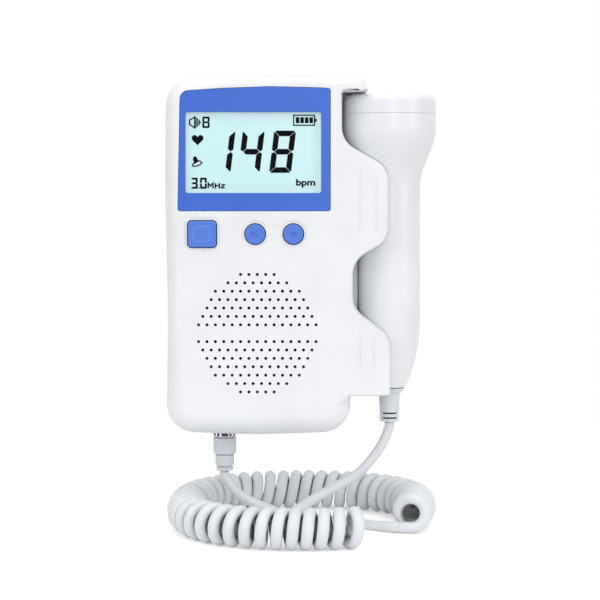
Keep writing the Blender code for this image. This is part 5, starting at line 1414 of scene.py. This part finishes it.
def loop_radius(angle):
    """Distance from the loop's centre to the curls' axis, drawn in at the open end."""
    across = abs(math.cos(angle)) / LOOP_HALF_WIDTH
    along = abs(math.sin(angle)) / LOOP_HALF_DEPTH
    radius = (across**LOOP_POWER + along**LOOP_POWER) ** (-1 / LOOP_POWER)
    return radius - OPEN_END_DRAWN_IN * (1 - soft_step((math.degrees(angle) - OPEN_END_ANGLE) / OPEN_END_SPREAD))


def curl_points(per_curl):
    """Centre line of the curly cord, its curls side by side along the loop's inner side."""
    start = math.radians(OPEN_END_ANGLE)
    end = math.radians(FRONT_END_ANGLE)
    count = 1440
    x, y = LOOP_CENTRE
    axis = []
    for index in range(count + 1):
        angle = start + (end - start) * index / count
        radius = loop_radius(angle)
        axis.append(Vector((x + radius * math.cos(angle), y + radius * math.sin(angle), CURL_AXIS)))
    outs = []
    for before, after in zip(axis[:1] + axis, axis[1:] + axis[-1:]):
        outs.append(Vector((after.y - before.y, before.x - after.x, 0.0)).normalized())
    lengths = reaches([place - out * INNER_SIDE for place, out in zip(axis, outs)])
    curls = math.floor(lengths[-1] / CURL_PITCH - 0.75) + 0.75
    steps = round(curls * per_curl)
    turns = [curls * step / steps for step in range(steps + 1)]
    phases = [2 * math.pi * turn - math.pi / 2 for turn in turns]
    evened = [max(turn - 0.4 * (math.sin(phase) + 1) / (2 * math.pi), 0.0) for turn, phase in zip(turns, phases)]
    spots = walk(lengths, [lengths[-1] * turn / curls for turn in evened])
    points = []
    for turn, phase, (index, share) in zip(turns, phases, spots):
        last = min(max(turn - curls + 1, 0.0), 1.0)
        place = axis[index].lerp(axis[index + 1], share)
        out = outs[index].lerp(outs[index + 1], share)
        ahead = Vector((-out.y, out.x, 0.0)) * 0.0011 * math.sin(math.pi * last) ** 2
        rise = Vector((0.0, 0.0, math.sin(phase)))
        points.append(place + ahead + (out * math.cos(phase) + rise) * HELIX)
    points.insert(0, points[0] - outs[0] * CORD)
    down = (Vector((0.0, 0.0, -1.0)) - outs[-1] * 0.8).normalized()
    points.append(points[-1] + down * CORD / 2)
    return points


def smooth_route(route, spacing):
    """Points at even spacing along a smooth curve through a route's own points."""
    places = [Vector(place) for place in route]
    fine = []
    for index in range(len(places) - 1):
        before = places[max(index - 1, 0)]
        start = places[index]
        end = places[index + 1]
        after = places[min(index + 2, len(places) - 1)]
        for step in range(20):
            t = step / 20
            a = 2 * start
            b = (end - before) * t
            c = (2 * before - 5 * start + 4 * end - after) * t * t
            d = (3 * start - before - 3 * end + after) * t * t * t
            fine.append((a + b + c + d) / 2)
    fine.append(places[-1])
    return resample(fine, spacing)


def resample(fine, spacing):
    """Evenly spaced points along a line of many short steps."""
    lengths = reaches(fine)
    steps = max(2, round(lengths[-1] / spacing))
    stops = [lengths[-1] * step / steps for step in range(steps + 1)]
    return [fine[index].lerp(fine[index + 1], share) for index, share in walk(lengths, stops)]


def sheath(name, points, diameter, end_diameter, around, wound=False):
    """A round cord along points, its ends shut; it grows to its end diameter and, if wound, carries a weight for
    painted shade on the side that faces its bore.
    """
    easing = 0.006
    bore_fade = 0.037
    reach = reaches(points)
    shape = bmesh.new()
    painted_bore_shade = shape.verts.layers.float.new("painted_bore_shade")
    bends = sorted((before + after - 2 * here).length for before, here, after in zip(points, points[1:], points[2:]))
    usual = bends[len(bends) // 2] * 0.8
    loops = []
    side = None
    for index, here in enumerate(points):
        before = points[max(index - 1, 0)]
        after = points[min(index + 1, len(points) - 1)]
        ahead = (after - before).normalized()
        if side is None:
            side = ahead.orthogonal().normalized()
        side = (side - ahead * side.dot(ahead)).normalized()
        other = ahead.cross(side)
        to_end = reach[-1] - reach[index]
        radius = (diameter + (end_diameter - diameter) * soft_step(1 - to_end / easing)) / 2
        bend = before + after - 2 * here
        # weight of the painted shade: none on a lead, eased in over the first and last curl and where the cord bends
        # less
        wrap = min(bend.length / usual, min(reach[index], to_end) / bore_fade, 1.0) if wound else 0.0
        bend.normalize()
        loop = []
        for step in range(around):
            angle = 2 * math.pi * step / around
            spoke = side * math.cos(angle) + other * math.sin(angle)
            loop.append(shape.verts.new(here + spoke * radius))
            loop[-1][painted_bore_shade] = wrap * (1 + spoke.dot(bend)) / 2
        loops.append(loop)
    bridge(shape, loops)
    thing = add(name, close(shape, name), CORD_GREY)
    thing.data.shade_smooth()
    thing.data.set_sharp_from_angle(angle=math.radians(50))
    return thing


def length_of(points):
    return reaches(points)[-1]


PLUG_LEAD_FALL = (
    (0.00055, 0.0, -0.0028),
    (0.00215, 0.0, -0.0052),
    (0.00455, 0.0, -0.0081),
    (0.00785, 0.0001, -0.0105),
    (0.01155, 0.0004, -0.0125),
)
PLUG_LEAD_LIE = (
    (-0.0124, 0.0024, 0.0063),
    (-0.0069, 0.0032, 0.0040),
    (-0.0014, 0.0038, 0.00235),
    (0.0046, 0.0042, 0.0018),
    (0.0116, 0.0036, 0.0018),
    (0.0181, 0.0010, 0.0018),
    (0.0236, -0.0038, 0.0018),
)
PROBE_LEAD_FALL = (
    (-0.0008, -0.0001, -0.0041),
    (-0.0028, -0.0003, -0.0086),
    (-0.0064, -0.0007, -0.0136),
    (-0.0106, -0.0011, -0.0182),
    (-0.0146, -0.0015, -0.0212),
    (-0.0196, -0.0020, -0.0239),
    (-0.0240, -0.0026, -0.0262),
    (-0.0284, -0.0033, -0.0283),
)
PROBE_LEAD_LIE = (
    (0.0005, -0.0028, 0.0088),
    (-0.0044, -0.0042, 0.0060),
    (-0.0092, -0.0068, 0.0031),
    (-0.0116, -0.0116, 0.0018),
    (-0.0096, -0.0166, 0.0018),
    (-0.0046, -0.0196, 0.0018),
    (0.0014, -0.0214, 0.0018),
    (0.0080, -0.0222, 0.0018),
    (0.0132, -0.0245, 0.0019),
)


def make_lead(name, node, top, fall, lie, end, before_end, moving):
    """A lead from a strain relief to one end of the curls; moving, the body that its upper end would go with, is not
    used.
    """
    ground = Vector((*LOOP_CENTRE, SURFACE))
    route = [top + Vector(step) for step in fall] + [ground + Vector(step) for step in lie]
    heading = (end - before_end).normalized()
    meet = end + heading * GAP
    drop = Vector((0.0, 0.0, -LEAD_SPACING / 4))
    middle = smooth_route([top + drop, *route, meet + heading * LEAD_SPACING / 2], LEAD_SPACING)
    coarse = [top, *middle, meet]
    points = smooth_route(coarse, LEAD_CORD / 3)
    piece = sheath(name, points, LEAD_CORD, CURL_CORD, 20)
    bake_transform(piece)
    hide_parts(node)
    length_of(points)


def make_cords():
    """The curly cord and its two leads."""
    coarse = curl_points(COARSE_STEPS)
    curls = curl_points(FINE_STEPS)
    piece = sheath("curls", curls, CURL_CORD, CURL_CORD, 16, wound=True)
    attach(piece, "case")
    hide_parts("curly_cord")
    length_of(curls)
    plug_top = Vector((PLUG_X, MIDDLE, PLUG_FOOT - GAP))
    make_lead("lead_to_plug", "plug_lead", plug_top, PLUG_LEAD_FALL, PLUG_LEAD_LIE, *coarse[:2], "plug")
    probe_top = Vector((AXIS_OUT, MIDDLE, RELIEF_FOOT - GAP))
    make_lead("lead_to_probe", "probe_lead", probe_top, PROBE_LEAD_FALL, PROBE_LEAD_LIE, *coarse[:-3:-1], "probe")


# ---------------------------------------------------------------- carried-over pieces


CARRIED = (
    (MILKY, "backlight_plate crystal_carrier"),
    (BLACK, "power_switch volume_switch mode_switch speaker_frame probe_socket plug_insert crystal_backing"),
    (GREEN, "main_board probe_board"),
    (SCREW, "board_screw_left board_screw_right"),
    (SCREW, "case_screw_upper_left case_screw_upper_right case_screw_lower_left case_screw_lower_right"),
    (PAPER, "speaker_cone"),
    (STEEL, "speaker_magnet"),
    (CELL, "battery_left battery_right"),
    (NICKEL, "battery_spring_lower battery_spring_upper contact_bridge contact_plus contact_minus"),
    (CERAMIC, "crystal_left crystal_right"),
)


def paint_carried():
    """Gives every CAD node that still shows its own finish."""
    for finish, names in CARRIED:
        for name in names.split():
            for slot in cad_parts[name].material_slots:
                slot.material = finish


# ---------------------------------------------------------------- stage


ROOM_LIGHT = 0.53
FLOOR_GLOW = 0.36
PURE_WHITE = (1.0, 1.0, 1.0, 1.0)
FLOOR_MIDDLE = (0.016, -0.018)
LAMPS = (
    ("left_softbox", (-0.75, -0.75, 0.55), (0.0, 0.0, -0.03), (0.7, 0.9), 4.3),
    ("right_softbox", (0.85, -0.55, 0.35), (0.03, 0.0, -0.03), (0.35, 0.8), 3.0),
    ("front_softbox", (0.23, -1.3, 0.42), (0.04, 0.0, 0.0), (0.16, 0.9), 3.2),
    ("top_softbox", (0.0, -0.1, 1.0), (0.0, 0.0, -0.05), (0.9, 0.9), 3.5),
)


def make_camera():
    """Level camera before the case; the shift sets the horizon where the photo has it."""
    camera = bpy.data.cameras.new("camera")
    camera.lens = 108.3
    camera.sensor_width = 36.0
    camera.shift_y = -128 / 600
    camera.clip_start = 0.01
    eye = link("camera", camera)
    eye.location = (0.01575, -0.702, 0.0036)
    eye.rotation_euler = (math.pi / 2, 0.0, 0.0)
    bpy.context.scene.camera = eye
    bpy.context.scene.view_settings.view_transform = "Standard"


def make_room():
    """Softboxes in an even white surround, which camera and mirror rays see as pure white."""
    for name, place, target, size, power in LAMPS:
        light = bpy.data.lights.new(name, "AREA")
        light.shape = "RECTANGLE"
        light.size, light.size_y = size
        light.energy = power
        lamp = link(name, light)
        lamp.location = place
        lamp.rotation_euler = (Vector(target) - Vector(place)).to_track_quat("-Z", "Y").to_euler()
    world = bpy.data.worlds.new("white_room")
    world.use_nodes = True
    world.node_tree.nodes.clear()
    bpy.context.scene.world = world
    room = Nodes(world.node_tree)
    shades = [
        room.node("ShaderNodeBackground", {"Color": PURE_WHITE, "Strength": strength}).outputs[0]
        for strength in (ROOM_LIGHT, 1.0)
    ]
    seen = room.rays("Is Camera Ray", "Is Glossy Ray", "Is Transmission Ray")
    both = room.node("ShaderNodeMixShader", {0: seen, 1: shades[0], 2: shades[1]})
    room.node("ShaderNodeOutputWorld", {"Surface": both.outputs[0]})


def make_floor():
    """Pale floor that fades out round the object."""
    floor = turned("floor", [(0.0, 0.0), (0.9, 0.0)], (*FLOOR_MIDDLE, SURFACE), "Z", None, 96)
    finish = Finish("pale_floor", Roughness=0.75, Base_Color=(0.90, 0.90, 0.905, 1.0))
    x, y, _ = finish.axes(finish.place(middle=(*FLOOR_MIDDLE, 0.0)))
    out = x * x + y * y
    out = out.maths("POWER", out, 0.5)
    plain = finish.shader.outputs[0]
    glow = finish.node("ShaderNodeEmission", {"Color": PURE_WHITE, "Strength": FLOOR_GLOW})
    lit = finish.node("ShaderNodeAddShader", {0: plain, 1: glow.outputs[0]})
    seen = finish.rays("Is Camera Ray", "Is Glossy Ray")
    inside = finish.node("ShaderNodeMixShader", {0: seen, 1: plain, 2: lit.outputs[0]})
    clear = finish.node("ShaderNodeBsdfTransparent")
    sockets = {0: out.above(0.10, 0.30), 1: inside.outputs[0], 2: clear.outputs[0]}
    fade = finish.node("ShaderNodeMixShader", sockets)
    finish.tree.links.new(fade.outputs[0], finish.tree.nodes["Material Output"].inputs["Surface"])
    floor.data.materials.append(finish.material)


make_camera()
make_room()
make_floor()
make_cords()
make_case()
make_display()
make_buttons()
make_probe()
make_plug()
paint_carried()
